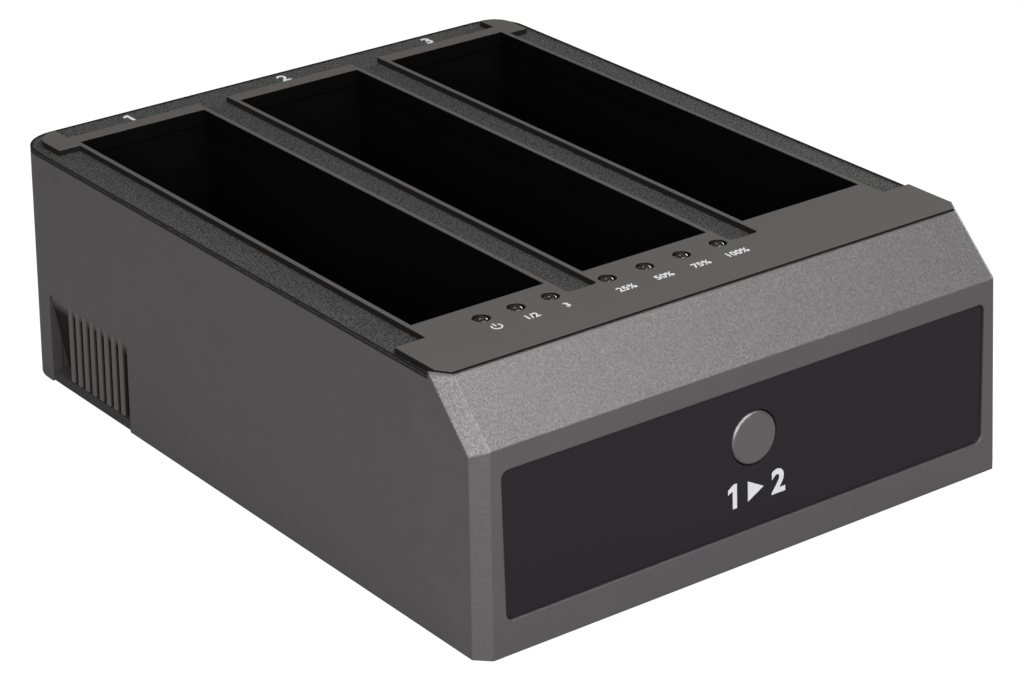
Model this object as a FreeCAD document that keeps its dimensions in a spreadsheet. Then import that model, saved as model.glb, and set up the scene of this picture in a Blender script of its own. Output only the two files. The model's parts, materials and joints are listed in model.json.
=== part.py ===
"""A three-bay drive duplicator: one bay for a parallel-ATA drive and two for serial-ATA drives.

The frame has +Z up, the front towards -Y and its origin on the table under the middle of the case.
Heights in the size formulas are counted from the lower edge of the case, which the rubber feet
hold a little above the table.  Every length is in millimetres and every angle in degrees.
"""
import FreeCAD, Part
import math
import os
import re

import Sketcher

SIZES = {
    # Case: a moulded shell with drafted walls, a sloping brow and faceted front corners
    "side_margin": 9.05,
    "back_margin": 11.9,
    "body_height": 46.4,
    "draft": 1.5,
    "wall": 2.4,
    "rear_radius": 7.5,
    "facet": 2.5,
    "slope_run": 10.0,
    "slope_rise": 10.0,
    "slope_drop": 0.3,
    "ledge_depth": 3.0,
    "foot_out": 1.0,
    "overshoot": 1.0,
    # Seam between the case and its top cover
    "cover_thickness": 2.0,
    "cover_edge": 0.35,
    "seam_gap": 0.4,
    "seam_lip": 1.1,
    "seam_clearance": 0.15,
    "front_gap": 0.3,
    "skirt_depth": 4.0,
    "skirt_wall": 1.4,
    "skirt_setback": 4.2,
    # Relief of the top cover
    "raised": 1.0,
    "strip_depth": 0.2,
    "strip_border": 0.45,
    "plate_inset": 0.8,
    "plate_overlap": 5.5,
    "strip_corner": 0.9,
    "rim_side": 0.9,
    "rim_back": 3.3,
    "pad_inset": 2.5,
    "pad_back_inset": 2.5,
    "pad_cover": 0.7,
    "pad_lead": 1.7,
    "pad_flat": 0.135,
    # Drive bays
    "bay_width": 27.4,
    "bay_length": 108.5,
    "bay_pitch": 35.5,
    "bay_setback": 30.2,
    "liner_wall": 1.5,
    "liner_clearance": 0.3,
    "liner_floor": 1.6,
    "liner_gap": 1.4,
    "lead_in": 3.0,
    "window_clearance": 0.5,
    # Front panel and its button
    "panel_side": 5.6,
    "panel_base": 6.4,
    "panel_head": 4.2,
    "panel_gap": 0.2,
    "panel_inset": 0.4,
    "panel_thickness": 1.0,
    "panel_radius": 1.3,
    "panel_ledge": 2.0,
    "button_rise": 3.35,
    "button_radius": 4.8,
    "button_gap": 0.25,
    "button_proud": 0.3,
    "button_edge": 0.3,
    "button_travel": 0.9,
    "collar_wall": 1.2,
    "collar_length": 4.0,
    "flange_gap": 0.1,
    "flange_lap": 0.8,
    "flange_height": 7.0,
    "flange_thickness": 1.2,
    "stem_side": 3.4,
    "stem_length": 2.2,
    "plunger_side": 3.0,
    "plunger_length": 2.4,
    "plunger_entry": 1.2,
    "plunger_gap": 0.3,
    "switch_side": 6.0,
    "switch_height": 3.4,
    "button_board_width": 30.0,
    "button_board_height": 15.0,
    "button_post_spread": 11.8,
    "button_post_side": 3.8,
    # Indicator lights
    "led_radius": 1.5,
    "led_height": 5.3,
    "led_proud": 0.3,
    "led_clearance": 0.15,
    "led_line": 4.9,
    "led_lead_length": 2.4,
    "led_lead_side": 0.5,
    "led_lead_pitch": 2.0,
    "state_led_pitch": 7.15,
    "state_led_shift": 3.0,
    "scale_led_pitch": 8.1,
    "led_board_margin": 12.5,
    "led_board_depth": 5.8,
    "led_post_inset": 3.5,
    "led_post_side": 3.8,
    # Side vents
    "vent_setback": 10.7,
    "vent_length": 29.1,
    "vent_height": 18.0,
    "vent_gap": 0.3,
    "vent_inset": 0.45,
    "vent_ramp": 3.0,
    "vent_plate": 1.4,
    "rib_count": 8,
    "rib_pitch": 2.65,
    "rib_width": 1.2,
    "rib_offset": -1.9,
    "vent_flange": 2.0,
    # Base
    "base_floor": 2.0,
    "base_clearance": 0.2,
    "boss_inset": 9.5,
    "boss_side": 7.0,
    "boss_height": 10.0,
    "boss_cap": 1.0,
    "web_thickness": 2.0,
    "foot_inset_x": 19.0,
    "foot_inset_y": 11.5,
    "foot_radius": 5.0,
    "base_slot_count": 9,
    "base_slot_pitch": 6.0,
    "base_slot_width": 2.4,
    "base_slot_length": 32.0,
    "base_slot_place": -12.0,
    "base_tab_root": 2.0,
    # Screws that hold the base
    "screw_radius": 1.5,
    "screw_head_lap": 1.2,
    "screw_length": 9.0,
    "screw_clearance": 0.05,
    # Pins that hold the boards, melted down over them
    "pin_side": 2.0,
    "pin_clearance": 0.1,
    "stake_side": 3.0,
    "stake_height": 0.7,
    # Main board
    "board_thickness": 1.6,
    "board_level": 14.6,
    "board_side": 6.75,
    "board_front": 18.0,
    "board_back": 4.6,
    "post_side": 5.2,
    "post_inset_x": 11.0,
    "post_inset_y": 3.4,
    # Drive connectors
    "sata_length": 43.0,
    "sata_width": 5.6,
    "plug_height": 9.0,
    "sata_offset": 29.5,
    "tongue_depth": 6.0,
    "tongue_width": 2.4,
    "data_slot": 11.4,
    "power_slot": 21.4,
    "slot_spacing": 2.2,
    "key_step": 1.3,
    "contact_pitch": 1.27,
    "contact_width": 0.6,
    "contact_thickness": 0.3,
    "contact_height": 5.0,
    "plug_key_depth": 0.9,
    "plug_key_width": 4.4,
    "plug_key_floor": 2.0,
    "ide_length": 53.0,
    "ide_width": 6.6,
    "ide_offset": 34.5,
    "ide_pitch": 2.54,
    "ide_columns": 20,
    "ide_hole": 1.0,
    "ide_hole_depth": 5.0,
    "molex_length": 22.0,
    "molex_width": 8.0,
    "molex_offset": 81.0,
    "molex_pitch": 5.08,
    "molex_hole_radius": 1.7,
    "molex_hole_depth": 6.0,
    "molex_bevel": 1.2,
    # Ports and switch on the back wall
    "port_clearance": 0.3,
    "port_recess": 0.5,
    "usb_shift": -22.0,
    "usb_width": 12.0,
    "usb_height": 12.2,
    "usb_length": 17.0,
    "usb_mouth_width": 9.0,
    "usb_mouth_height": 7.6,
    "usb_mouth_bevel": 1.4,
    "usb_top_width": 6.0,
    "usb_top_height": 3.0,
    "usb_depth": 10.0,
    "usb_tongue_width": 5.6,
    "usb_tongue_height": 3.2,
    "usb_tongue_length": 8.6,
    "jack_shift": 8.0,
    "jack_width": 9.0,
    "jack_height": 11.0,
    "jack_length": 14.0,
    "jack_bore": 3.15,
    "jack_bore_depth": 9.5,
    "jack_axis_drop": 6.4,
    "jack_pin_radius": 1.05,
    "jack_pin_length": 9.0,
    "rocker_shift": 28.5,
    "rocker_height": 8.2,
    "bezel_width": 15.4,
    "bezel_height": 11.0,
    "bezel_thickness": 1.0,
    "bezel_bevel": 0.7,
    "bezel_body_width": 13.0,
    "bezel_body_height": 8.6,
    "bezel_body_depth": 9.0,
    "rocker_width": 10.0,
    "rocker_tall": 6.2,
    "rocker_body": 3.4,
    "rocker_taper": 0.86,
    "rocker_rise": 0.4,
    "rocker_clearance": 0.35,
    "rocker_throw": 7.0,
    "rocker_well": 1.6,
    "trunnion_radius": 0.8,
    "trunnion_length": 0.8,
    "trunnion_fit": 0.06,
    "terminal_length": 4.5,
    "terminal_width": 3.0,
    "terminal_thickness": 0.8,
    "terminal_pitch": 5.0,
    # Parts on the underside of the main board
    "bridge_setback": 53.3,
    "bridge_side": 12.0,
    "chip_height": 1.2,
    "chip_side": 9.0,
    "capacitor_shift": 14.0,
    "capacitor_pitch": 9.0,
    "capacitor_setback": 31.3,
    "capacitor_length": 7.3,
    "capacitor_width": 4.3,
    "capacitor_height": 2.8,
    "inductor_shift": 16.0,
    "inductor_pitch": 12.0,
    "inductor_setback": 43.3,
    "inductor_side": 7.0,
    "inductor_height": 3.6,
    "crystal_shift": 16.0,
    "crystal_length": 11.0,
    "crystal_width": 4.6,
    "crystal_height": 3.4,
    "header_height": 2.6,
    "header_depth": 3.4,
    "header_margin": 0.5,
    "header_inset": 4.0,
    "ribbon_width": 11.0,
    "ribbon_thickness": 0.7,
    "ribbon_bend": 2.4,
}

# Sizes and places that follow from the ones above
WORKED_OUT = {
    "lean": "tan(draft)",
    "shell_width": "2 * (outer_bay + side_margin)",
    "shell_depth": "bay_setback + bay_length + back_margin",
    "rear_low": "rear_radius + lean * body_height",
    "front_face": "-shell_depth / 2",
    "back_face": "shell_depth / 2",
    "slope_top": "body_height + raised - slope_drop",
    "front_height": "slope_top - slope_rise",
    "slope_start": "front_face + lean * front_height",
    "slope_end": "slope_start + slope_run",
    "slope_skin": "wall * sqrt(1 + (slope_rise / slope_run)^2)",
    "facet_run": "facet * sqrt(1 + (slope_rise / slope_run)^2)",
    "top_half": "shell_width / 2 - lean * body_height",
    "top_back": "back_face - lean * body_height",
    "shell_top": "body_height - cover_edge - seam_gap",
    "cover_seat": "body_height - cover_thickness",
    "cover_front": "slope_end + front_gap",
    "bay_front": "front_face + bay_setback",
    "bay_back": "bay_front + bay_length",
    "plate_back": "bay_front - plate_overlap",
    "outer_bay": "bay_pitch + bay_width / 2",
    "pad_radius": "top_half - pad_inset - outer_bay - pad_cover - pad_flat",
    "relief": "cover_thickness + raised",
    "relief_floor": "cover_thickness - strip_depth",
    "led_row": "bay_front - led_line",
    "state_led_first": "-bay_pitch - state_led_shift",
    "led_board_left": "state_led_first - led_board_margin",
    "led_board_right": "1.5 * scale_led_pitch + led_board_margin",
    "led_board_width": "led_board_right - led_board_left",
    "led_board_shift": "(led_board_left + led_board_right) / 2",
    "led_post_spread": "led_board_width / 2 - led_post_inset",
    "led_hole": "led_radius + led_clearance",
    "led_seat": "body_height + raised + led_proud - led_height",
    "led_board_top": "led_seat - led_lead_length",
    "board_half_width": "shell_width / 2 - board_side",
    "board_top": "board_level + board_thickness",
    "liner_base": "board_top + liner_gap",
    "liner_half": "bay_width / 2 + liner_clearance",
    "liner_end": "bay_length / 2 + liner_clearance",
    "liner_height": "cover_seat - liner_base",
    "board_front_edge": "front_face + board_front",
    "board_back_edge": "back_face - board_back",
    "post_x": "board_half_width - post_inset_x",
    "post_front_y": "board_front_edge + post_inset_y",
    "post_back_y": "board_back_edge - post_inset_y",
    "boss_x": "shell_width / 2 - boss_inset",
    "boss_y": "shell_depth / 2 - boss_inset",
    "foot_x": "shell_width / 2 - foot_inset_x",
    "foot_y": "shell_depth / 2 - foot_inset_y",
    "panel_width": "shell_width - 2 * panel_side",
    "panel_height": "front_height - panel_base - panel_head",
    "panel_middle": "panel_base + panel_height / 2",
    "button_height": "panel_middle + button_rise",
    "button_hole": "button_radius + button_gap",
    "collar_outer": "button_hole + collar_wall",
    "panel_back": "panel_inset + panel_thickness",
    "collar_end": "panel_back + collar_length",
    "button_front": "panel_inset - button_proud",
    "flange_start": "collar_end + flange_gap",
    "flange_end": "flange_start + flange_thickness",
    "stem_end": "flange_end + stem_length",
    "switch_front": "stem_end + plunger_length - plunger_entry",
    "button_board_front": "switch_front + switch_height",
    "jack_axis": "board_level - jack_axis_drop",
    "vent_front": "back_face - vent_setback - vent_length",
    "vent_centre": "vent_front + vent_length / 2",
}

document = FreeCAD.newDocument("drive_duplicator")
sheet = document.addObject("Spreadsheet::Sheet", "Sizes")
for row, (name, size) in enumerate(SIZES.items(), start=1):
    sheet.set("A%d" % row, name)
    sheet.set("B%d" % row, str(size))
    sheet.setAlias("B%d" % row, name)
document.recompute()

SUB_PARTS = []
CHANGES = []
QUARTER_TURN = math.pi / 2


# ---------------------------------------------------------------- formulas

def formula(text):
    """Return a size formula with each name replaced by its cell or by what it is worked out from."""

    def spell_out(match):
        word = match.group(0)
        if word in WORKED_OUT:
            return "(" + formula(WORKED_OUT[word]) + ")"
        return "Sizes." + word if word in SIZES else word

    return re.sub(r"[A-Za-z_]\w*", spell_out, str(text))


def value(text):
    """Return what a size formula comes to."""
    return float(sheet.evalExpression(formula(text)))


def bind(item, prop, text):
    """Tie a property of an object to a size formula."""
    item.setExpression(prop, formula(text))


# ---------------------------------------------------------------- bodies, sketches and features

NORMAL = {"XY": 1, "XZ": -1, "YZ": 1}


def place(item, x="0", y="0", z="foot_out", lean="0"):
    """Place a sub-part; lean tips it about X so that it follows a drafted wall."""
    item.Placement = FreeCAD.Placement(FreeCAD.Vector(), FreeCAD.Rotation(FreeCAD.Vector(1, 0, 0), 0))
    bind(item, "Placement.Base.x", x)
    bind(item, "Placement.Base.y", y)
    bind(item, "Placement.Base.z", z)
    if lean != "0":
        bind(item, "Placement.Rotation.Angle", lean)


def new_body(label, x="0", y="0", z="foot_out", lean="0"):
    """Start a sub-part as a body of its own."""
    body = document.addObject("PartDesign::Body", label)
    body.Label = label
    place(body, x, y, z, lean)
    SUB_PARTS.append(body)
    return body


def origin_feature(body, role):
    """Return an origin plane or axis of a body."""
    return [item for item in body.Origin.OriginFeatures if item.Role == role][0]


def new_sketch(body, plane="XY", level="0", lean="0"):
    """Start a sketch parallel to an origin plane, at a level along the axis across that plane."""
    sketch = body.newObject("Sketcher::SketchObject", body.Name + "_sketch")
    sketch.AttachmentSupport = [(origin_feature(body, plane + "_Plane"), "")]
    sketch.MapMode = "FlatFace"
    turn = FreeCAD.Rotation(FreeCAD.Vector(1, 0, 0), 0)
    sketch.AttachmentOffset = FreeCAD.Placement(FreeCAD.Vector(), turn)
    sign = "-1" if NORMAL[plane] < 0 else "1"
    bind(sketch, "AttachmentOffset.Base.z", "%s * (%s)" % (sign, level))
    if lean != "0":
        bind(sketch, "AttachmentOffset.Rotation.Angle", lean)
    return sketch


def outline(sketch, corners):
    """Draw a closed outline from corners, each an x and a y formula and, where it is round, a radius.

    A round corner has to lie between an edge along X and an edge along Y."""
    first = sketch.GeometryCount
    places = [FreeCAD.Vector(value(corner[0]), value(corner[1]), 0) for corner in corners]
    count = len(corners)
    ends = []
    for number, corner in enumerate(corners):
        if len(corner) == 2:
            ends.append((corner, corner))
            continue
        toward = [step_to(places[number], places[(number + move) % count]) for move in (-1, 1)]
        ends.append(tuple(("%s + %d * (%s)" % (corner[0], step.x, corner[2]),
                           "%s + %d * (%s)" % (corner[1], step.y, corner[2])) for step in toward))
    for number in range(count):
        start, end = ends[number][1], ends[(number + 1) % count][0]
        sketch.addGeometry(Part.LineSegment(FreeCAD.Vector(value(start[0]), value(start[1]), 0),
                                            FreeCAD.Vector(value(end[0]), value(end[1]), 0)))
    for number, corner in enumerate(corners):
        before = first + (number - 1) % count
        pin_point(sketch, first + number, 1, ends[number][1])
        if len(corner) == 2:
            sketch.addConstraint(Sketcher.Constraint("Coincident", before, 2, first + number, 1))
        else:
            pin_point(sketch, before, 2, ends[number][0])
            round_corner(sketch, before, first + number, places[number], corner[2])


def step_to(start, end):
    """Return the unit step from one point towards another along X or Y."""
    step = end - start
    return FreeCAD.Vector(round(step.x / step.Length), round(step.y / step.Length), 0)


def round_corner(sketch, before, after, corner, radius):
    """Join two edges of a sketch with a quarter circle."""
    start, end = sketch.getPoint(before, 2), sketch.getPoint(after, 1)
    centre = start + end - corner
    turning_left = (corner - start).cross(end - corner).z > 0
    low, high = (start, end) if turning_left else (end, start)
    angle = FreeCAD.Vector(1, 0, 0).getAngle(low - centre)
    if (low - centre).y < -1e-9:
        angle = -angle
    curve = Part.Circle(centre, FreeCAD.Vector(0, 0, 1), value(radius))
    arc = sketch.addGeometry(Part.ArcOfCircle(curve, angle, angle + QUARTER_TURN))
    sketch.addConstraint(Sketcher.Constraint("Coincident", before, 2, arc, 1 if turning_left else 2))
    sketch.addConstraint(Sketcher.Constraint("Coincident", after, 1, arc, 2 if turning_left else 1))
    size = sketch.addConstraint(Sketcher.Constraint("Radius", arc, value(radius)))
    bind(sketch, "Constraints[%d]" % size, radius)


def pin_point(sketch, geometry, point, corner):
    """Fix a point of a sketch at a pair of size formulas."""
    for kind, text in zip(("DistanceX", "DistanceY"), corner):
        fixed = Sketcher.Constraint(kind, -1, 1, geometry, point, value(text))
        bind(sketch, "Constraints[%d]" % sketch.addConstraint(fixed), text)


def rectangle(sketch, left, right, low, high):
    """Draw a rectangle between four size formulas."""
    outline(sketch, [(left, low), (right, low), (right, high), (left, high)])


def round_backed(sketch, half, front, back, radius):
    """Draw a rectangle about the middle plane whose two rear corners are round."""
    outline(sketch, [("-" + half, front), (half, front), (half, back, radius), ("-" + half, back, radius)])


def centred(sketch, width, height, x="0", y="0"):
    """Draw a rectangle of a given size about a point."""
    rectangle(sketch, "%s - (%s) / 2" % (x, width), "%s + (%s) / 2" % (x, width),
              "%s - (%s) / 2" % (y, height), "%s + (%s) / 2" % (y, height))


def circle(sketch, x, y, radius):
    """Draw a circle."""
    round_line = Part.Circle(FreeCAD.Vector(value(x), value(y), 0), FreeCAD.Vector(0, 0, 1), value(radius))
    geometry = sketch.addGeometry(round_line)
    pin_point(sketch, geometry, 3, (x, y))
    size = sketch.addConstraint(Sketcher.Constraint("Radius", geometry, value(radius)))
    bind(sketch, "Constraints[%d]" % size, radius)


def pad(body, sketch, length, forward=True, taper="0", both_ways=False):
    """Add material along the positive axis across the sketch, or along the negative one."""
    feature = body.newObject("PartDesign::Pad", body.Name + "_pad")
    feature.Profile = sketch
    bind(feature, "Length", length)
    flipped = sketch_normal(sketch) < 0
    feature.Reversed = forward == flipped
    if both_ways:
        feature.Midplane = True
    if taper != "0":
        bind(feature, "TaperAngle", taper)
    return note_change(feature, "grow")


def pocket(body, sketch, length, forward=True, taper="0", both_ways=False):
    """Cut material along the positive axis across the sketch, or along the negative one."""
    feature = body.newObject("PartDesign::Pocket", body.Name + "_pocket")
    feature.Profile = sketch
    bind(feature, "Length", length)
    flipped = sketch_normal(sketch) < 0
    feature.Reversed = forward != flipped
    if both_ways:
        feature.Midplane = True
    if taper != "0":
        bind(feature, "TaperAngle", taper)
    return note_change(feature, "shrink")


def turn(body, sketch):
    """Revolve a half profile about the upright axis of its sketch."""
    feature = body.newObject("PartDesign::Revolution", body.Name + "_turned")
    feature.Profile = sketch
    feature.ReferenceAxis = (sketch, ["V_Axis"])
    feature.Angle = 360
    return note_change(feature, "grow")


def sketch_normal(sketch):
    """Return +1 or -1: which way the sketch faces along the axis that it lies across."""
    facing = sketch.AttachmentSupport[0][0].Role
    return NORMAL[facing[:2]]


def note_change(feature, change):
    """Note which way a feature has to change the volume of its body."""
    CHANGES.append((feature, change))
    return feature


def draft_walls(body):
    """Lean the upright walls of a body inwards by the draft, each about its lower edge."""
    document.recompute()
    base = body.Tip
    walls = ["Face%d" % number for number, face in enumerate(base.Shape.Faces, start=1)
             if abs(face.normalAt(*face.Surface.parameter(face.CenterOfMass)).z) < 0.01]
    feature = body.newObject("PartDesign::Draft", body.Name + "_draft")
    feature.Base = (base, walls)
    feature.NeutralPlane = (origin_feature(body, "XY_Plane"), [""])
    bind(feature, "Angle", "draft")
    body.Tip = feature
    return note_change(feature, "shrink")


def dress(body, kind, size, wanted):
    """Round or bevel the edges of a body that a test picks out by their place and direction."""
    document.recompute()
    base = body.Tip
    names = ["Edge%d" % number for number, edge in enumerate(base.Shape.Edges, start=1) if wanted(edge)]
    if not names:
        raise RuntimeError("no edges to dress on " + body.Label)
    feature = body.newObject("PartDesign::" + kind, "%s_%s" % (body.Name, kind.lower()))
    feature.Base = (base, names)
    bind(feature, "Radius" if kind == "Fillet" else "Size", size)
    body.Tip = feature
    return feature


def repeat(body, feature, axis, spacing, count):
    """Repeat a feature in a straight line."""
    pattern = body.newObject("PartDesign::LinearPattern", body.Name + "_row")
    pattern.Originals = [feature]
    pattern.Direction = (origin_feature(body, axis + "_Axis"), [""])
    bind(pattern, "Length", "(%s) * (%s - 1)" % (spacing, count))
    bind(pattern, "Occurrences", count)
    body.Tip = pattern
    return pattern


def add_staked_posts(body, plane, places, foot, seat, side, forward=True):
    """Add square posts from one level to another, each with a pin through the board it carries.

    The end of each pin is melted down over the board into a head."""
    way = "1" if forward else "-1"
    over = "(%s + %s * board_thickness)" % (seat, way)
    end = "(%s + %s * stake_height)" % (over, way)
    for start, stop, width in ((foot, seat, side), (seat, over, "pin_side"), (over, end, "stake_side")):
        squares = new_sketch(body, plane, start)
        for x, y in places:
            centred(squares, width, width, x, y)
        pad(body, squares, "%s * ((%s) - (%s))" % (way, stop, start), forward=forward)


def pin_holes(sketch, places):
    """Draw the square holes in a board for the pins that hold it."""
    for x, y in places:
        centred(sketch, "pin_side + 2 * pin_clearance", "pin_side + 2 * pin_clearance", x, y)


def edge_line(edge):
    """Return an edge's middle and its unit direction."""
    ends = [vertex.Point for vertex in edge.Vertexes]
    if len(ends) < 2:
        return edge.CenterOfMass, FreeCAD.Vector()
    return (ends[0] + ends[1]) * 0.5, (ends[1] - ends[0]).normalize()


def plain_box(label, width, depth, height, x="0", y="0", z="0"):
    """Make a plain block, with its lower face at z and its plan centred on x and y."""
    block = document.addObject("Part::Box", label)
    block.Label = label
    bind(block, "Length", width)
    bind(block, "Width", depth)
    bind(block, "Height", height)
    place(block, "%s - (%s) / 2" % (x, width), "%s - (%s) / 2" % (y, depth), "foot_out + (%s)" % z)
    SUB_PARTS.append(block)
    return block


# ---------------------------------------------------------------- case

def case_outline(sketch, inset):
    """Draw the case's plan at its lower edge, a given distance in from the outer face."""
    round_backed(sketch, "(shell_width / 2 - (%s))" % inset, "front_face + (%s)" % inset,
                 "back_face - (%s)" % inset, "rear_low - (%s)" % inset)


def make_outer_shell():
    """Mould the case: drafted walls, a brow that slopes back, and openings for what it carries."""
    body = new_body("outer_shell")
    plan = new_sketch(body)
    case_outline(plan, "0")
    pad(body, plan, "slope_top")
    draft_walls(body)

    above_brow = new_sketch(body, "YZ")
    outline(above_brow, [("slope_start", "front_height"),
                         ("slope_end", "slope_top"),
                         ("slope_end", "slope_top + overshoot"),
                         ("slope_start - overshoot", "slope_top + overshoot"),
                         ("slope_start - overshoot", "front_height")])
    pocket(body, above_brow, "shell_width + 2 * overshoot", both_ways=True)
    dress(body, "Chamfer", "facet", is_front_corner)
    hollow_out(body, make_core())

    above_wall = new_sketch(body, level="shell_top")
    cover_plan(above_wall, "-overshoot - lean * body_height", "slope_end", "rear_radius")
    pocket(body, above_wall, "slope_top - shell_top")
    seam = new_sketch(body, level="cover_seat")
    cover_plan(seam, "seam_lip", "slope_end", "rear_radius - seam_lip")
    pocket(body, seam, "cover_thickness")

    cut_front_window(body)
    cut_vent_notches(body)
    cut_back_wall(body)
    add_case_bosses(body)


def make_core():
    """Shape the hollow of the case: its drafted inside, stopped under the brow and the cover's ledge."""
    core = document.addObject("PartDesign::Body", "outer_shell_core")
    plan = new_sketch(core)
    case_outline(plan, "wall")
    pad(core, plan, "slope_top + overshoot")
    draft_walls(core)
    ledge_low = "cover_seat - cover_thickness"
    under_brow = new_sketch(core, "YZ")
    outline(under_brow, [
        ("front_face - overshoot",
         "front_height - slope_skin - (slope_start - front_face + overshoot) * slope_rise / slope_run"),
        ("slope_start + slope_run / slope_rise * (%s - front_height + slope_skin)" % ledge_low, ledge_low),
        ("slope_end + ledge_depth", ledge_low),
        ("slope_end + ledge_depth", "slope_top + 2 * overshoot"),
        ("front_face - overshoot", "slope_top + 2 * overshoot")])
    pocket(core, under_brow, "shell_width + 2 * overshoot", both_ways=True)
    return core


def hollow_out(body, core):
    """Take a core's shape out of a body."""
    hollow = body.newObject("PartDesign::Boolean", body.Name + "_hollow")
    hollow.Type = "Cut"
    hollow.setObjects([core])
    note_change(hollow, "shrink")


def is_front_corner(edge):
    """Tell whether an edge is an upright front corner of the case or a side edge of its brow."""
    middle, direction = edge_line(edge)
    at_side = abs(middle.x) > value("top_half - 0.1")
    upright_front = abs(direction.z) > 0.95 and middle.y < value("slope_start")
    beside_brow = direction.cross(FreeCAD.Vector(0, value("slope_run"), value("slope_rise"))).Length < 2.0
    beside_brow = beside_brow and value("slope_start") < middle.y < value("slope_end")
    return at_side and (upright_front or beside_brow)


def cut_front_window(body):
    """Recess the front face for the panel and open the wall behind it."""
    recess = new_sketch(body, "XZ", "front_face", "-draft")
    centred(recess, "panel_width + 2 * panel_gap", "panel_height + 2 * panel_gap", y="panel_middle")
    pocket(body, recess, "panel_back")
    dress(body, "Fillet", "panel_radius + panel_gap", is_recess_corner)
    window = new_sketch(body, "XZ", "front_face", "-draft")
    centred(window, "panel_width - 2 * panel_ledge", "panel_height - 2 * panel_ledge", y="panel_middle")
    pocket(body, window, "wall + overshoot")


def is_recess_corner(edge):
    """Tell whether an edge is one of the panel recess's four corners."""
    middle, direction = edge_line(edge)
    across = abs(abs(middle.x) - value("panel_width / 2 + panel_gap")) < 0.05
    return across and abs(direction.y) > 0.99 and middle.y < value("front_face + wall")


def cut_vent_notches(body):
    """Notch both side walls up from their lower edge for the vents."""
    notch = new_sketch(body, "YZ")
    rectangle(notch, "vent_front", "vent_front + vent_length", "-overshoot", "vent_height")
    pocket(body, notch, "shell_width + 2 * overshoot", both_ways=True)


def cut_back_wall(body):
    """Open the back wall for the data port, the power jack and the rocker switch."""
    holes = new_sketch(body, "XZ", "back_face + overshoot")
    rectangle(holes, "usb_shift - usb_width / 2 - port_clearance", "usb_shift + usb_width / 2 + port_clearance",
              "board_level - usb_height - port_clearance", "board_level + port_clearance")
    rectangle(holes, "jack_shift - jack_width / 2 - port_clearance",
              "jack_shift + jack_width / 2 + port_clearance",
              "board_level - jack_height - port_clearance", "board_level + port_clearance")
    centred(holes, "bezel_body_width + 2 * port_clearance", "bezel_body_height + 2 * port_clearance",
            "rocker_shift", "rocker_height")
    pocket(body, holes, "wall + 2 * overshoot", forward=False)


def add_case_bosses(body):
    """Add four screw bosses in the lower corners, each tied to a side wall by a web."""
    bosses = new_sketch(body, level="base_floor")
    for x, y in screw_places():
        centred(bosses, "boss_side", "boss_side", x, y)
    pad(body, bosses, "boss_height")
    webs = new_sketch(body, level="base_floor")
    reach = "(shell_width / 2 - wall / 2 - lean * (base_floor + boss_height))"
    for side in ("-1", "1"):
        ends = ["%s * boss_x" % side, "%s * %s" % (side, reach)]
        if side == "-1":
            ends.reverse()
        for end in ("-1", "1"):
            rectangle(webs, ends[0], ends[1], "%s * boss_y - web_thickness / 2" % end,
                      "%s * boss_y + web_thickness / 2" % end)
    pad(body, webs, "boss_height")
    holes = new_sketch(body, level="base_floor")
    for x, y in screw_places():
        circle(holes, x, y, "screw_radius + screw_clearance")
    pocket(body, holes, "boss_height - boss_cap")


# ---------------------------------------------------------------- top cover

def cover_plan(sketch, inset, front, radius):
    """Draw the top cover's plan, inset from the case, with front corners that follow its facets."""
    half = "(top_half - (%s))" % inset
    back = "top_back - (%s)" % inset
    start = "%s + facet_run / facet * (facet - (%s))" % (front, inset)
    outline(sketch, [("-top_half + facet", front), ("top_half - facet", front), (half, start),
                     (half, back, radius), ("-" + half, back, radius), ("-" + half, start)])


def make_top_cover():
    """Mould the top cover: a raised front plate, rims round the bays and sunk textured strips."""
    body = new_body("top_cover", z="foot_out + cover_seat")
    tongue = new_sketch(body)
    cover_plan(tongue, "seam_lip + seam_clearance", "cover_front", "rear_radius - seam_lip - seam_clearance")
    pad(body, tongue, "cover_thickness - cover_edge")
    band = new_sketch(body, level="cover_thickness - cover_edge")
    cover_plan(band, "0", "cover_front", "rear_radius")
    pad(body, band, "cover_edge")
    strips = new_sketch(body, level="cover_thickness")
    cover_plan(strips, "strip_border", "cover_front + strip_border", "rear_radius - strip_border")
    pocket(body, strips, "strip_depth", forward=False)
    raise_front_plate(body)
    raise_rims(body)
    raise_corner_pads(body)
    open_bays(body)
    drill_led_holes(body)
    add_skirt(body)
    posts = [("led_board_shift + %s * led_post_spread" % side, "led_row") for side in ("-1", "1")]
    add_staked_posts(body, "XY", posts, "0", "(led_board_top - cover_seat)", "led_post_side", forward=False)


def raise_front_plate(body):
    """Raise the smooth plate in front of the bays, which carries the indicator lights."""
    plate = new_sketch(body, level="relief_floor")
    half = "(top_half - plate_inset)"
    start = "cover_front + facet_run / facet * (facet - plate_inset)"
    outline(plate, [("-top_half + facet", "cover_front"), ("top_half - facet", "cover_front"), (half, start),
                    (half, "plate_back"), ("-" + half, "plate_back"), ("-" + half, start)])
    pad(body, plate, "relief - relief_floor")


def raise_rims(body):
    """Raise a rim round the sides and back of each bay, joined to the front plate."""
    rims = new_sketch(body, level="relief_floor")
    for bay in ("-1", "0", "1"):
        middle = "%s * bay_pitch" % bay
        half = "(bay_width / 2 + rim_side)"
        rectangle(rims, "%s - %s" % (middle, half), "%s + %s" % (middle, half),
                  "plate_back - overshoot", "bay_back + rim_back")
    pad(body, rims, "relief - relief_floor")
    dress(body, "Fillet", "strip_corner", is_strip_corner)


def is_strip_corner(edge):
    """Tell whether an edge is an inner corner at the front end of a strip between two bays."""
    middle, direction = edge_line(edge)
    return (abs(direction.z) > 0.99 and abs(middle.y - value("plate_back")) < 0.02
            and abs(middle.x) < value("outer_bay") and middle.z > value("relief_floor"))


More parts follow.
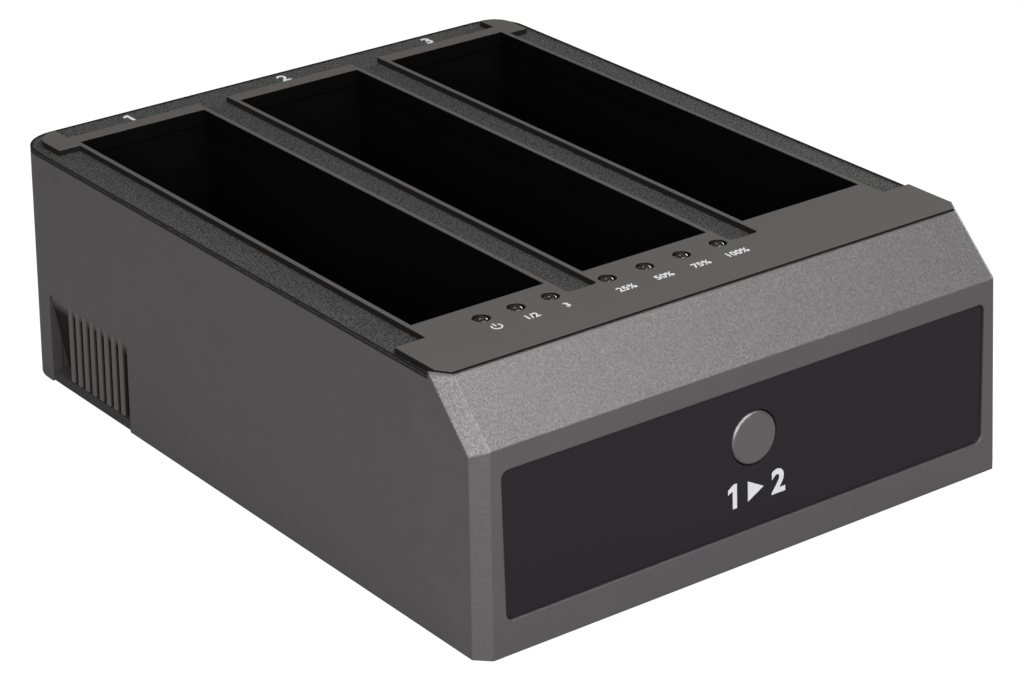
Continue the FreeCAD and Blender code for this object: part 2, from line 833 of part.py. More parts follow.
def raise_corner_pads(body):
    """Raise a pad with a round outer corner at each rear corner, joined to the bay's rim."""
    low, high = "bay_back - pad_lead", "top_back - pad_back_inset"
    for side in ("-1", "1"):
        pads = new_sketch(body, level="relief_floor")
        near = "%s * (outer_bay + pad_cover)" % side
        far = "%s * (top_half - pad_inset)" % side
        outline(pads, [(near, low), (far, low), (far, high, "pad_radius"), (near, high)])
        pad(body, pads, "relief - relief_floor")


def open_bays(body):
    """Cut the three bay openings through the cover."""
    openings = new_sketch(body)
    for bay in ("-1", "0", "1"):
        centred(openings, "bay_width", "bay_length", "%s * bay_pitch" % bay, "bay_front + bay_length / 2")
    pocket(body, openings, "relief + overshoot")


def drill_led_holes(body):
    """Drill three status holes and, to their right, the four holes of the progress scale."""
    for first, pitch, count in (("state_led_first", "state_led_pitch", "3"),
                                ("-1.5 * scale_led_pitch", "scale_led_pitch", "4")):
        hole = new_sketch(body)
        circle(hole, first, "led_row", "led_hole")
        repeat(body, pocket(body, hole, "relief + overshoot"), "X", pitch, count)


def add_skirt(body):
    """Add the skirt that locates the cover inside the case's walls."""
    skirt = new_sketch(body)
    front = "cover_front + skirt_setback"
    inset = "(wall + seam_clearance)"
    for depth in ("0", "skirt_wall"):
        round_backed(skirt, "(top_half - %s - %s)" % (inset, depth), "%s + %s" % (front, depth),
                     "top_back - %s - %s" % (inset, depth), "rear_radius - %s - %s" % (inset, depth))
    pad(body, skirt, "skirt_depth", forward=False)


# ---------------------------------------------------------------- bay liners

def make_liner(label, bay, windows):
    """Mould one bay's liner: an open box with a bevelled lead-in and windows for its connectors."""
    body = new_body(label, "%s * bay_pitch" % bay, "bay_front + bay_length / 2", "foot_out + liner_base")
    outside = new_sketch(body)
    centred(outside, "2 * (liner_half + liner_wall)", "2 * (liner_end + liner_wall)")
    pad(body, outside, "liner_height")
    inside = new_sketch(body, level="liner_floor")
    centred(inside, "2 * liner_half", "2 * liner_end")
    pocket(body, inside, "liner_height")
    ramps = new_sketch(body, "YZ")
    for end in ("-1", "1"):
        corner = "%s * liner_end" % end
        outline(ramps, [(corner, "liner_floor"), ("%s * (liner_end - lead_in)" % end, "liner_floor"),
                        (corner, "liner_floor + 2 * lead_in")])
    pad(body, ramps, "2 * liner_half", both_ways=True)
    floor_windows = new_sketch(body)
    for length, width, offset in windows:
        centred(floor_windows, "%s + 2 * window_clearance" % width, "%s + 2 * window_clearance" % length,
                y="%s - bay_length / 2" % offset)
    pocket(body, floor_windows, "liner_floor + overshoot")


# ---------------------------------------------------------------- front panel, button and its switch

def make_front_panel():
    """Make the front panel: a thin plate with the button's collar and two posts on its back."""
    body = new_body("front_panel", y="front_face", lean="-draft")
    plate = new_sketch(body, "XZ", "panel_inset")
    centred(plate, "panel_width", "panel_height", y="panel_middle")
    pad(body, plate, "panel_thickness")
    dress(body, "Fillet", "panel_radius", lambda edge: abs(edge_line(edge)[1].y) > 0.99)
    collar = new_sketch(body, "XZ", "panel_back")
    circle(collar, "0", "button_height", "collar_outer")
    pad(body, collar, "collar_length")
    hole = new_sketch(body, "XZ", "panel_inset")
    circle(hole, "0", "button_height", "button_hole")
    pocket(body, hole, "panel_thickness + collar_length")
    add_staked_posts(body, "XZ", button_posts(), "panel_back", "button_board_front", "button_post_side")


def button_posts():
    """Return where the posts that carry the button's board stand."""
    return [("%s * button_post_spread" % side, "button_height") for side in ("-1", "1")]


def make_clone_button():
    """Make the button: a bevelled disc, a retaining flange behind the collar and a stem."""
    body = new_body("clone_button", y="front_face", lean="-draft")
    disc = new_sketch(body, "XZ", "button_front")
    circle(disc, "0", "button_height", "button_radius")
    pad(body, disc, "flange_start - button_front")
    flange = new_sketch(body, "XZ", "flange_start")
    centred(flange, "2 * (button_hole + flange_lap)", "flange_height", y="button_height")
    pad(body, flange, "flange_thickness")
    stem = new_sketch(body, "XZ", "flange_end")
    centred(stem, "stem_side", "stem_side", y="button_height")
    pad(body, stem, "stem_length")
    face = value("button_front")
    dress(body, "Chamfer", "button_edge", lambda edge: abs(edge.CenterOfMass.y - face) < 0.01)


def make_button_switch():
    """Make the push switch behind the button: its plunger, its body and its board."""
    plunger = new_body("switch_plunger", y="front_face", lean="-draft")
    rod = new_sketch(plunger, "XZ", "stem_end")
    centred(rod, "plunger_side", "plunger_side", y="button_height")
    pad(plunger, rod, "plunger_length")

    switch = new_body("push_switch", y="front_face", lean="-draft")
    block = new_sketch(switch, "XZ", "switch_front")
    centred(block, "switch_side", "switch_side", y="button_height")
    pad(switch, block, "switch_height")
    well = new_sketch(switch, "XZ", "switch_front")
    centred(well, "plunger_side + 2 * plunger_gap", "plunger_side + 2 * plunger_gap", y="button_height")
    pocket(switch, well, "plunger_entry + button_travel + plunger_gap")

    board = new_body("button_board", y="front_face", lean="-draft")
    plate = new_sketch(board, "XZ", "button_board_front")
    centred(plate, "button_board_width", "button_board_height", y="button_height")
    pin_holes(plate, button_posts())
    pad(board, plate, "board_thickness")


# ---------------------------------------------------------------- indicator lights

def led_places():
    """Return each light's name and its place across the cover."""
    state = [("led_state_%d" % (n + 1), "state_led_first + %d * state_led_pitch" % n) for n in range(3)]
    scale = [("led_scale_%d" % (n + 1), "(%s) * scale_led_pitch" % (n - 1.5)) for n in range(4)]
    return state + scale


def make_leds():
    """Make the seven lights, each a plain lens, with their leads and their board."""
    for label, x in led_places():
        body = new_body(label, x, "led_row", "foot_out + led_seat")
        lens = new_sketch(body)
        circle(lens, "0", "0", "led_radius")
        pad(body, lens, "led_height")

    leads = new_body("led_leads", y="led_row", z="foot_out + led_board_top")
    leads.AllowCompound = True
    pins = new_sketch(leads)
    for _, x in led_places():
        for side in ("-1", "1"):
            centred(pins, "led_lead_side", "led_lead_side", "%s + %s * led_lead_pitch / 2" % (x, side))
    pad(leads, pins, "led_lead_length")

    board = new_body("led_board", "led_board_shift", "led_row", "foot_out + led_board_top - board_thickness")
    plate = new_sketch(board)
    centred(plate, "led_board_width", "led_board_depth")
    pin_holes(plate, [("%s * led_post_spread" % side, "0") for side in ("-1", "1")])
    pad(board, plate, "board_thickness")


# ---------------------------------------------------------------- side vents

def make_vent(label, side):
    """Mould one vent: a ramp that sinks into the case, slots through it and fins standing on it.

    Its frame stands on the wall's lower edge, with X across the wall and Y along it.  Depths are
    counted inwards from the drafted wall, and a lip at the top hooks behind the wall."""
    body = new_body(label, "%s * shell_width / 2" % side, "vent_centre", "foot_out")
    foot, head = "base_floor + vent_gap / 2", "vent_height - vent_gap"

    def inwards(depth, height):
        return "%s * (-lean * (%s) - (%s))" % (side, height, depth)

    ramp = new_sketch(body, "XZ")
    hook = "wall + port_clearance"
    outline(ramp, [(inwards("vent_inset + vent_ramp", foot), foot),
                   (inwards("vent_inset", head), head),
                   (inwards(hook, head), head),
                   (inwards(hook, head), head + " + vent_flange"),
                   (inwards(hook + " + vent_plate", head), head + " + vent_flange"),
                   (inwards(hook + " + vent_plate", head), head + " - vent_plate"),
                   (inwards("vent_inset + vent_ramp + vent_plate", foot), foot)])
    pad(body, ramp, "vent_length - 2 * vent_gap", both_ways=True)

    first = "rib_offset - rib_pitch * (rib_count - 1) / 2"
    half_gap = "(rib_pitch - rib_width) / 2"
    slot = new_sketch(body, "YZ")
    middle = "(%s + rib_pitch / 2)" % first
    rectangle(slot, "%s - %s" % (middle, half_gap), "%s + %s" % (middle, half_gap),
              foot + " + vent_flange", head + " - vent_flange")
    cut = pocket(body, slot, "vent_inset + vent_ramp + vent_plate + overshoot", forward=(side == "-1"))
    repeat(body, cut, "Y", "rib_pitch", "rib_count - 1")

    fin = new_sketch(body, "XZ", first)
    outline(fin, [(inwards("vent_inset + vent_ramp", foot), foot),
                  (inwards("vent_inset", foot), foot),
                  (inwards("vent_inset", head), head),
                  (inwards("vent_inset + vent_plate / 2", head), head)])
    rib = pad(body, fin, "rib_width", both_ways=True)
    repeat(body, rib, "Y", "rib_pitch", "rib_count")


# ---------------------------------------------------------------- base

def make_base():
    """Mould the base: a floor with vent tabs, air slots, countersunk screw holes and board posts."""
    body = new_body("base_cover")
    plan = new_sketch(body)
    case_outline(plan, "wall + base_clearance")
    pad(body, plan, "base_floor")
    tabs = new_sketch(body)
    for side in ("-1", "1"):
        far = "%s * (shell_width / 2 - vent_inset)" % side
        near = "%s * (shell_width / 2 - wall - base_tab_root)" % side
        low, high = (far, near) if side == "-1" else (near, far)
        rectangle(tabs, low, high, "vent_front + vent_gap", "vent_front + vent_length - vent_gap")
    pad(body, tabs, "base_floor")
    first = "(-(base_slot_count - 1) / 2 * base_slot_pitch)"
    slot = new_sketch(body)
    centred(slot, "base_slot_width", "base_slot_length", first, "base_slot_place")
    repeat(body, pocket(body, slot, "base_floor"), "X", "base_slot_pitch", "base_slot_count")
    holes = new_sketch(body)
    for x, y in screw_places():
        circle(holes, x, y, "screw_radius + screw_clearance")
    pocket(body, holes, "base_floor")
    dress(body, "Chamfer", "screw_head_lap", is_lower_hole_edge)
    add_staked_posts(body, "XY", post_places(), "base_floor", "board_level", "post_side")


def is_lower_hole_edge(edge):
    """Tell whether an edge is the lower rim of a screw hole."""
    return len(edge.Vertexes) == 1 and edge.BoundBox.ZMax < 0.01


def screw_places():
    """Return where the four screws that hold the base stand."""
    return [("%s * boss_x" % side, "%s * boss_y" % end) for side in ("-1", "1") for end in ("-1", "1")]


def post_places():
    """Return where the posts that carry the main board stand."""
    return [("%s * post_x" % side, end) for side in ("-1", "1") for end in ("post_front_y", "post_back_y")]


def make_feet():
    """Make the four rubber feet, each a disc stuck to the base."""
    for label, side, end in (("foot_front_left", "-1", "-1"), ("foot_front_right", "1", "-1"),
                             ("foot_rear_left", "-1", "1"), ("foot_rear_right", "1", "1")):
        body = new_body(label, "%s * foot_x" % side, "%s * foot_y" % end, "0")
        disc = new_sketch(body)
        circle(disc, "0", "0", "foot_radius")
        pad(body, disc, "foot_out")


def make_case_screws():
    """Turn the four countersunk screws that hold the base to the case's bosses."""
    body = new_body("case_screws")
    body.AllowCompound = True
    for x, y in screw_places():
        profile = new_sketch(body, "XZ", y)
        bind(profile, "AttachmentOffset.Base.x", x)
        outline(profile, [("0", "0"), ("screw_radius + screw_head_lap", "0"),
                          ("screw_radius", "screw_head_lap"), ("screw_radius", "screw_length"),
                          ("0", "screw_length")])
        turn(body, profile)


# ---------------------------------------------------------------- main board and drive connectors

def make_main_board():
    """Make the main board, which lies on the base's posts."""
    board = new_body("main_board", z="foot_out + board_level")
    plate = new_sketch(board)
    rectangle(plate, "-board_half_width", "board_half_width", "board_front_edge", "board_back_edge")
    pin_holes(plate, post_places())
    pad(board, plate, "board_thickness")


def make_sata_connector(label, bay):
    """Make a 22-way socket: a data slot and a power slot, each with the key step at one end."""
    body = new_body(label, "%s * bay_pitch" % bay, "bay_front + sata_offset", "foot_out + board_top")
    block = new_sketch(body)
    centred(block, "sata_width", "sata_length")
    pad(body, block, "plug_height")
    slots = new_sketch(body, level="plug_height")
    total = "(data_slot + slot_spacing + power_slot)"
    for start, length in (("(-%s / 2)" % total, "data_slot"),
                          ("(%s / 2 - power_slot)" % total, "power_slot")):
        end = "%s + %s" % (start, length)
        outline(slots, [("-tongue_width / 2", start), ("tongue_width / 2", start),
                        ("tongue_width / 2", "%s - key_step" % end),
                        ("tongue_width / 2 + key_step / 2", "%s - key_step" % end),
                        ("tongue_width / 2 + key_step / 2", end), ("-tongue_width / 2", end)])
    pocket(body, slots, "tongue_depth", forward=False)
    return body


def make_sata_contacts(label, bay):
    """Make the 7 data and 15 power contacts, one row down the wall of each slot."""
    body = new_body(label, "%s * bay_pitch" % bay, "bay_front + sata_offset",
                    "foot_out + board_top + plug_height - tongue_depth")
    body.AllowCompound = True
    total = "(data_slot + slot_spacing + power_slot)"
    blades = new_sketch(body)
    for start, slot, count in (("-%s / 2" % total, "data_slot", 7),
                               ("%s / 2 - power_slot" % total, "power_slot", 15)):
        lead = "(%s - key_step - %d * contact_pitch) / 2" % (slot, count - 1)
        for number in range(count):
            y = "%s + %s + %d * contact_pitch" % (start, lead, number)
            rectangle(blades, "-tongue_width / 2", "-tongue_width / 2 + contact_thickness",
                      "%s - contact_width / 2" % y, "%s + contact_width / 2" % y)
    pad(body, blades, "contact_height")


def make_ide_connectors():
    """Make the 40-way data socket and, behind it, the four-way power socket."""
    data = new_body("ide_connector", "-bay_pitch", "bay_front + ide_offset", "foot_out + board_top")
    block = new_sketch(data)
    centred(block, "ide_width", "ide_length")
    pad(data, block, "plug_height")
    pair = new_sketch(data, level="plug_height")
    for side in ("-1", "1"):
        centred(pair, "ide_hole", "ide_hole", "%s * ide_pitch / 2" % side,
                "-(ide_columns - 1) / 2 * ide_pitch")
    holes = pocket(data, pair, "ide_hole_depth", forward=False)
    repeat(data, holes, "Y", "ide_pitch", "ide_columns")
    key = new_sketch(data, level="plug_height")
    rectangle(key, "ide_width / 2 - plug_key_depth", "ide_width / 2 + overshoot",
              "-plug_key_width / 2", "plug_key_width / 2")
    pocket(data, key, "plug_height - plug_key_floor", forward=False)

    power = new_body("ide_power_socket", "-bay_pitch", "bay_front + molex_offset", "foot_out + board_top")
    shell = new_sketch(power)
    centred(shell, "molex_width", "molex_length")
    pad(power, shell, "plug_height")
    round_hole = new_sketch(power, level="plug_height")
    circle(round_hole, "0", "-1.5 * molex_pitch", "molex_hole_radius")
    holes = pocket(power, round_hole, "molex_hole_depth", forward=False)
    repeat(power, holes, "Y", "molex_pitch", "4")
    dress(power, "Chamfer", "molex_bevel", lambda edge: abs(edge_line(edge)[1].z) > 0.99
          and edge_line(edge)[0].x > value("molex_width / 2 - 0.1"))


# ---------------------------------------------------------------- ports and switch

def make_usb_port():
    """Make the data port: a metal shell with the stepped square mouth, and the tongue inside it."""
    face = "back_face - lean * board_level / 2 - port_recess"
    shell = new_body("usb_port", "usb_shift", "%s - usb_length" % face,
                     "foot_out + board_level - usb_height")
    block = new_sketch(shell, "XZ")
    centred(block, "usb_width", "usb_height", y="usb_height / 2")
    pad(shell, block, "usb_length")
    mouth = new_sketch(shell, "XZ", "usb_length")
    low = "(usb_height - usb_mouth_height - usb_top_height) / 2"
    step = "%s + usb_mouth_height" % low
    top = "%s + usb_top_height" % step
    outline(mouth, [("-usb_mouth_width / 2", low), ("usb_mouth_width / 2", low),
                    ("usb_mouth_width / 2", "%s - usb_mouth_bevel" % step),
                    ("usb_mouth_width / 2 - usb_mouth_bevel", step),
                    ("usb_top_width / 2", step), ("usb_top_width / 2", top), ("-usb_top_width / 2", top),
                    ("-usb_top_width / 2", step), ("-usb_mouth_width / 2 + usb_mouth_bevel", step),
                    ("-usb_mouth_width / 2", "%s - usb_mouth_bevel" % step)])
    pocket(shell, mouth, "usb_depth", forward=False)
    tongue = new_body("usb_tongue", "usb_shift", "%s - usb_depth" % face,
                      "foot_out + board_level - usb_height + %s" % low)
    bar = new_sketch(tongue, "XZ")
    centred(bar, "usb_tongue_width", "usb_tongue_height", y="usb_mouth_height / 2")
    pad(tongue, bar, "usb_tongue_length")


def make_power_jack():
    """Make the barrel jack and its centre pin."""
    face = "back_face - lean * board_level / 2 - port_recess"
    body = new_body("dc_jack", "jack_shift", "%s - jack_length" % face, "foot_out + board_level - jack_height")
    block = new_sketch(body, "XZ")
    centred(block, "jack_width", "jack_height", y="jack_height / 2")
    pad(body, block, "jack_length")
    bore = new_sketch(body, "XZ", "jack_length")
    circle(bore, "0", "jack_height - jack_axis_drop", "jack_bore")
    pocket(body, bore, "jack_bore_depth", forward=False)
    pin = new_body("dc_pin", "jack_shift", "%s - jack_bore_depth" % face, "foot_out + jack_axis")
    rod = new_sketch(pin, "XZ")
    circle(rod, "0", "0", "jack_pin_radius")
    pad(pin, rod, "jack_pin_length")


def make_rocker_switch():
    """Make the power switch: a bezel that clips into the back wall, a rocker and its terminals."""
    y = "back_face - lean * rocker_height"
    bezel = new_body("switch_bezel", "rocker_shift", y, "foot_out + rocker_height", "draft")
    flange = new_sketch(bezel, "XZ")
    centred(flange, "bezel_width", "bezel_height")
    pad(bezel, flange, "bezel_thickness")
    dress(bezel, "Chamfer", "bezel_bevel", lambda edge: abs(edge_line(edge)[1].y) > 0.99)
    block = new_sketch(bezel, "XZ")
    centred(block, "bezel_body_width", "bezel_body_height")
    pad(bezel, block, "bezel_body_depth", forward=False)
    well = new_sketch(bezel, "XZ", "bezel_thickness")
    centred(well, "rocker_width + 2 * rocker_clearance", "rocker_tall + 2 * rocker_clearance")
    pocket(bezel, well, "bezel_thickness + rocker_body + rocker_well", forward=False)
    seats = new_sketch(bezel, "XY")
    circle(seats, "0", "0", "trunnion_radius + trunnion_fit")
    pocket(bezel, seats, "rocker_tall + 2 * trunnion_length + 2 * trunnion_fit", both_ways=True)

    rocker = new_body("switch_rocker", "rocker_shift", y, "foot_out + rocker_height", "draft")
    profile = new_sketch(rocker, "XY")
    turn_corners(profile)
    pad(rocker, profile, "rocker_tall", both_ways=True)
    trunnions = new_sketch(rocker, "XY")
    circle(trunnions, "0", "0", "trunnion_radius")
    pad(rocker, trunnions, "rocker_tall + 2 * trunnion_length", both_ways=True)

    terminals = new_body("switch_terminals", "rocker_shift", y, "foot_out + rocker_height", "draft")
    terminals.AllowCompound = True
    blades = new_sketch(terminals, "XZ", "-bezel_body_depth")
    for side in ("-1", "1"):
        centred(blades, "terminal_thickness", "terminal_width", "%s * terminal_pitch / 2" % side)
    pad(terminals, blades, "terminal_length", forward=False)


def turn_corners(sketch):
    """Draw the rocker's section, tipped to the side that is pressed in while the power is off."""
    corners = []
    half = "(rocker_width / 2)"
    for x, y in (("-" + half, "-rocker_body"), (half, "-rocker_body"), (half, "bezel_thickness + rocker_rise"),
                 ("0", "bezel_thickness"), ("-" + half, "bezel_thickness + rocker_rise")):
        shrunk = "(rocker_taper * (%s))" % x if y == "-rocker_body" else "(%s)" % x
        corners.append(("%s * cos(rocker_throw) - (%s) * sin(rocker_throw)" % (shrunk, y),
                        "%s * sin(rocker_throw) + (%s) * cos(rocker_throw)" % (shrunk, y)))
    outline(sketch, corners)


# ---------------------------------------------------------------- parts on the main board

def make_board_parts():
    """Make the chips, the crystal, the capacitors and the coils under the main board."""
    under = "board_level"
    chip_row = "back_face - bridge_setback"
    plain_box("usb_bridge_chip", "bridge_side", "bridge_side", "chip_height", "usb_shift", chip_row,
              under + " - chip_height")
    plain_box("ide_bridge_chip", "chip_side", "chip_side", "chip_height", "-bay_pitch",
              "bay_front + ide_offset", under + " - chip_height")
    plain_box("clock_crystal", "crystal_length", "crystal_width", "crystal_height",
              "usb_shift + crystal_shift", chip_row, under + " - crystal_height")
    capacitors = new_body("capacitors", z="foot_out + board_level - capacitor_height")
    capacitors.AllowCompound = True
    blocks = new_sketch(capacitors)
    coils = new_body("inductors", z="foot_out + board_level - inductor_height")
    coils.AllowCompound = True
    squares = new_sketch(coils)
    for number in range(2):
        centred(blocks, "capacitor_length", "capacitor_width",
                "jack_shift + capacitor_shift + %d * capacitor_pitch" % number, "back_face - capacitor_setback")
        centred(squares, "inductor_side", "inductor_side",
                "jack_shift + inductor_shift + %d * inductor_pitch" % number, "back_face - inductor_setback")
    pad(capacitors, blocks, "capacitor_height")
    pad(coils, squares, "inductor_height")


def make_panel_ribbon():
    """Make the flat lead from the main board up to the light board, with a header at each end."""
    middle = "led_board_shift"
    lower_y = "board_front_edge + header_inset"
    plain_box("main_header", "ribbon_width + 2 * header_margin", "header_depth", "header_height", middle, lower_y, "board_top")
    under_lights = "led_board_top - board_thickness"
    plain_box("led_header", "ribbon_width + 2 * header_margin", "header_depth", "header_height", middle, "led_row",
              under_lights + " - header_height")
    ribbon = new_body("panel_ribbon", middle, "0", "foot_out")
    strip = new_sketch(ribbon, "YZ")
    half = "ribbon_thickness / 2"
    low, high = "board_top + header_height", under_lights + " - header_height"
    near, far = "(%s)" % lower_y, "(led_row)"
    outline(strip, [("%s - %s" % (near, half), low), ("%s + %s" % (near, half), low),
                    ("%s + %s" % (near, half), "%s + ribbon_bend" % low),
                    ("%s + %s" % (far, half), "%s - ribbon_bend" % high), ("%s + %s" % (far, half), high),
                    ("%s - %s" % (far, half), high), ("%s - %s" % (far, half), "%s - ribbon_bend" % high),
                    ("%s - %s" % (near, half), "%s + ribbon_bend" % low)])
    pad(ribbon, strip, "ribbon_width", both_ways=True)


# ---------------------------------------------------------------- checks and files

def check_and_write():
    """Make sure that every object is sound, then write each sub-part to its own file."""
    document.recompute()
    for item in document.Objects:
        if "Invalid" in item.State or "Error" in item.State:
            raise RuntimeError("%s is %s" % (item.Label, item.State))
    for feature, change in CHANGES:
        before = feature.BaseFeature.Shape.Volume if feature.BaseFeature else 0.0
        after = feature.Shape.Volume
        if (after > before + 1e-6) != (change == "grow") or abs(after - before) < 1e-6:
            raise RuntimeError("%s did not %s: %.3f to %.3f" % (feature.Label, change, before, after))
    os.makedirs("parts", exist_ok=True)
    for sub_part in SUB_PARTS:
        shape = sub_part.Shape
        if shape.isNull() or not shape.isValid():
            raise RuntimeError(sub_part.Label + " has no sound shape")
    for sub_part in SUB_PARTS:
        sub_part.Shape.exportStep(os.path.join("parts", sub_part.Label + ".step"))
        print("%-22s %2d solids %10.1f mm3" % (sub_part.Label, len(sub_part.Shape.Solids), sub_part.Shape.Volume))


make_outer_shell()
make_top_cover()
make_liner("bay_liner_ide", "-1", [("ide_length", "ide_width", "ide_offset"),
                                   ("molex_length", "molex_width", "molex_offset")])
make_liner("bay_liner_sata_1", "0", [("sata_length", "sata_width", "sata_offset")])
make_liner("bay_liner_sata_2", "1", [("sata_length", "sata_width", "sata_offset")])
make_front_panel()
make_clone_button()
make_button_switch()
make_leds()
make_vent("vent_left", "-1")
make_vent("vent_right", "1")
make_base()
make_feet()
make_case_screws()
make_main_board()
make_sata_connector("sata_connector_1", "0")
make_sata_connector("sata_connector_2", "1")
make_sata_contacts("sata_contacts_1", "0")
make_sata_contacts("sata_contacts_2", "1")
make_ide_connectors()
make_usb_port()
make_power_jack()
make_rocker_switch()
make_board_parts()
make_panel_ribbon()
check_and_write()
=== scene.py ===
"""Looks for a three-bay drive duplicator: its finishes, markings, indicator lights and studio.

The frame gives every rigid piece.  This file finishes those pieces, draws what is too fine for
them and sets up the studio.  Lengths are in metres unless a name ends in MM.
"""
import json
import math

import bpy
import numpy as np
from mathutils import Matrix, Vector


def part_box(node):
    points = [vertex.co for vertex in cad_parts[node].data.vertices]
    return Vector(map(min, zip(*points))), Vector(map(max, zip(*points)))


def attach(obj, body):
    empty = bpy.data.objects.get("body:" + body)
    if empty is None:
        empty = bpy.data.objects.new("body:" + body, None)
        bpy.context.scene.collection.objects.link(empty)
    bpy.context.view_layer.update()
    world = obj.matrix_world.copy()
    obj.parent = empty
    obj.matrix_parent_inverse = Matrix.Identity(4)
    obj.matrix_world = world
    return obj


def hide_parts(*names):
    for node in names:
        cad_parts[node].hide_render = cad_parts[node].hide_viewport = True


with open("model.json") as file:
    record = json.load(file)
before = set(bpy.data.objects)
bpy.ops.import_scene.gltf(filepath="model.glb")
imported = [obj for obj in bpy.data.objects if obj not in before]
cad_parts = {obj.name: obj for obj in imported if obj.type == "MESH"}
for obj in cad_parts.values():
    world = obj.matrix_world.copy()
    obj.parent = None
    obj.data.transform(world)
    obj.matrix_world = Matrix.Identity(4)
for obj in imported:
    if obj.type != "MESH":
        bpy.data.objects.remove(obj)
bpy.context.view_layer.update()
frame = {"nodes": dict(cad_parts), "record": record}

bl_info = {
    "name": "Drive duplicator",
    "version": (1, 0, 0),
    "blender": (4, 5, 0),
    "location": "View3D > Sidebar > Duplicator",
    "description": "Finishes, markings, indicator lights and studio of a drive duplicator",
    "category": "Object",
}


# ---------------------------------------------------------------- places and sizes

def box_of(node):
    """Return a node's lowest and highest corners."""
    return [Vector(corner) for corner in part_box(node)]


MM = 0.001
LEAN = math.radians(1.5)              # of the case's four walls
WALL_FOOT = 75.3 * MM                 # from the middle to the front and back walls at their foot
CASE_FOOT = 1.0 * MM                  # the walls' foot above the table
CASE_LOW, CASE_HIGH = box_of("outer_shell")
COVER_TOP = box_of("top_cover")[1].z
STRIP_LEVEL = COVER_TOP - 1.2 * MM    # the sunk strips between and behind the bays

BAY_PITCH = 35.5 * MM
BAY_WIDTH = 27.4 * MM
BAY_LENGTH = 108.5 * MM
BAY_BACK = 63.4 * MM
SLEEVE_PLAY = 0.01 * MM
SLEEVE_WALL = 0.07 * MM
SLEEVE_LEVELS = (COVER_TOP - 2.95 * MM, COVER_TOP - 0.16 * MM)

SCALE_ROW_MM = -55.3                  # the numbers of the progress scale, one to a light
SCALE_PITCH_MM = 8.1
STATUS_ROW_MM = -54.6
STATUS_COLUMNS_MM = {"2": -31.35, "3": -24.2}
POWER_MARK_MM = (-38.5, -54.4)
BAY_MARK_ROW_MM = 71.2
BAY_TICK_ROW_MM = 68.1
BAY_MARK_COLUMNS_MM = (-33.9, 1.4, 36.3)
COPY_MARK_MM = {"from": -4.6, "arrow": 0.2, "to": 5.4}
COPY_MARK_HEIGHT_MM = 13.3            # the copy mark's middle above the case's foot
ROCKER_HEIGHT_MM = 8.2                # the rocker's middle above the case's foot
INK_DEPTH = 0.2                       # how far ink reaches under its surface, as a share of its thickness

LENS_STEPS, CUP_STEPS, POST_STEPS = 36, 20, 12
CUP_SHIFT = -0.35 * MM
POST_SHIFT = 0.75 * MM
CUP_PROFILE_MM = ((0.0, 0.6), (0.50, 0.6), (0.50, 2.60), (0.72, 3.20), (0.62, 3.20), (0.30, 2.80),
                  (0.16, 2.75), (0.0, 2.75))
POST_PROFILE_MM = ((0.0, 0.6), (0.22, 0.6), (0.22, 3.3), (0.0, 3.3))

TABLE_HALF = 6.0
TABLE_LEVEL = -0.05 * MM              # just clear of the feet
LIGHT_SIZE = 0.45
LIGHT_DISTANCE = 1.05
LIGHT_AIM = Vector((0.0, 0.0, 0.02))
LIGHT_ANGLES = {"left_light": (-60, 25), "camera_light": (-36, 25), "front_light": (0, 50),
                "right_light": (40, 50), "top_light": (180, 72), "rear_light": (105, 12)}
CAMERA_TARGET = Vector((9.799, 7.7, 10.064)) * MM


# ---------------------------------------------------------------- colours and nodes

def linear(hex_colour):
    """Turn an sRGB hex colour such as "5c5a58" into Blender's linear red, green, blue and alpha."""
    channels = [int(hex_colour[i:i + 2], 16) / 255 for i in (0, 2, 4)]
    return [c / 12.92 if c <= 0.04045 else ((c + 0.055) / 1.055) ** 2.4 for c in channels] + [1.0]


def tones(colour, spread):
    """Return a darker and a lighter tone of a colour, a share either side of it."""
    shade = linear(colour)[:3]
    return [c * (1 - spread) for c in shade] + [1.0], [min(1.0, c * (1 + spread)) for c in shade] + [1.0]


def add_node(tree, kind, sockets=None, **settings):
    """Add a node, set its properties, and set or link each named or numbered input."""
    node = tree.nodes.new(kind)
    for name, setting in settings.items():
        setattr(node, name, setting)
    for name, source in (sockets or {}).items():
        socket = node.inputs[name]
        if isinstance(source, bpy.types.NodeSocket):
            tree.links.new(source, socket)
        else:
            socket.default_value = source
    return node


def new_material(name):
    """Start an empty material and return it with its node tree and its object coordinates."""
    material = bpy.data.materials.new(name)
    material.use_nodes = True
    tree = material.node_tree
    tree.nodes.clear()
    place = add_node(tree, "ShaderNodeTexCoord").outputs["Object"]
    return material, tree, place


def close_material(tree, sockets):
    """Add the main shader with its inputs, and the output."""
    shader = add_node(tree, "ShaderNodeBsdfPrincipled", sockets)
    add_node(tree, "ShaderNodeOutputMaterial", {"Surface": shader.outputs[0]})


def noise(tree, place, size, detail=2.0, roughness=0.5):
    """Return a smooth random value whose lumps are about the given size in metres."""
    return add_node(tree, "ShaderNodeTexNoise", {"Vector": place, "Scale": 1 / size, "Detail": detail,
                                                 "Roughness": roughness}).outputs[0]


def cells(tree, place, size):
    """Return the outputs of a pattern of random cells of about the given size in metres."""
    return add_node(tree, "ShaderNodeTexVoronoi", {"Vector": place, "Scale": 1 / size}).outputs


def remap(tree, value, low, high, new_low=0.0, new_high=1.0):
    """Map a value from one range to another, held at both ends."""
    return add_node(tree, "ShaderNodeMapRange", {"Value": value, "From Min": low, "From Max": high,
                                                 "To Min": new_low, "To Max": new_high}).outputs[0]


def calculate(tree, operation, first, second=0.0, third=0.0):
    """Combine values with a math node."""
    return add_node(tree, "ShaderNodeMath", {0: first, 1: second, 2: third}, operation=operation).outputs[0]


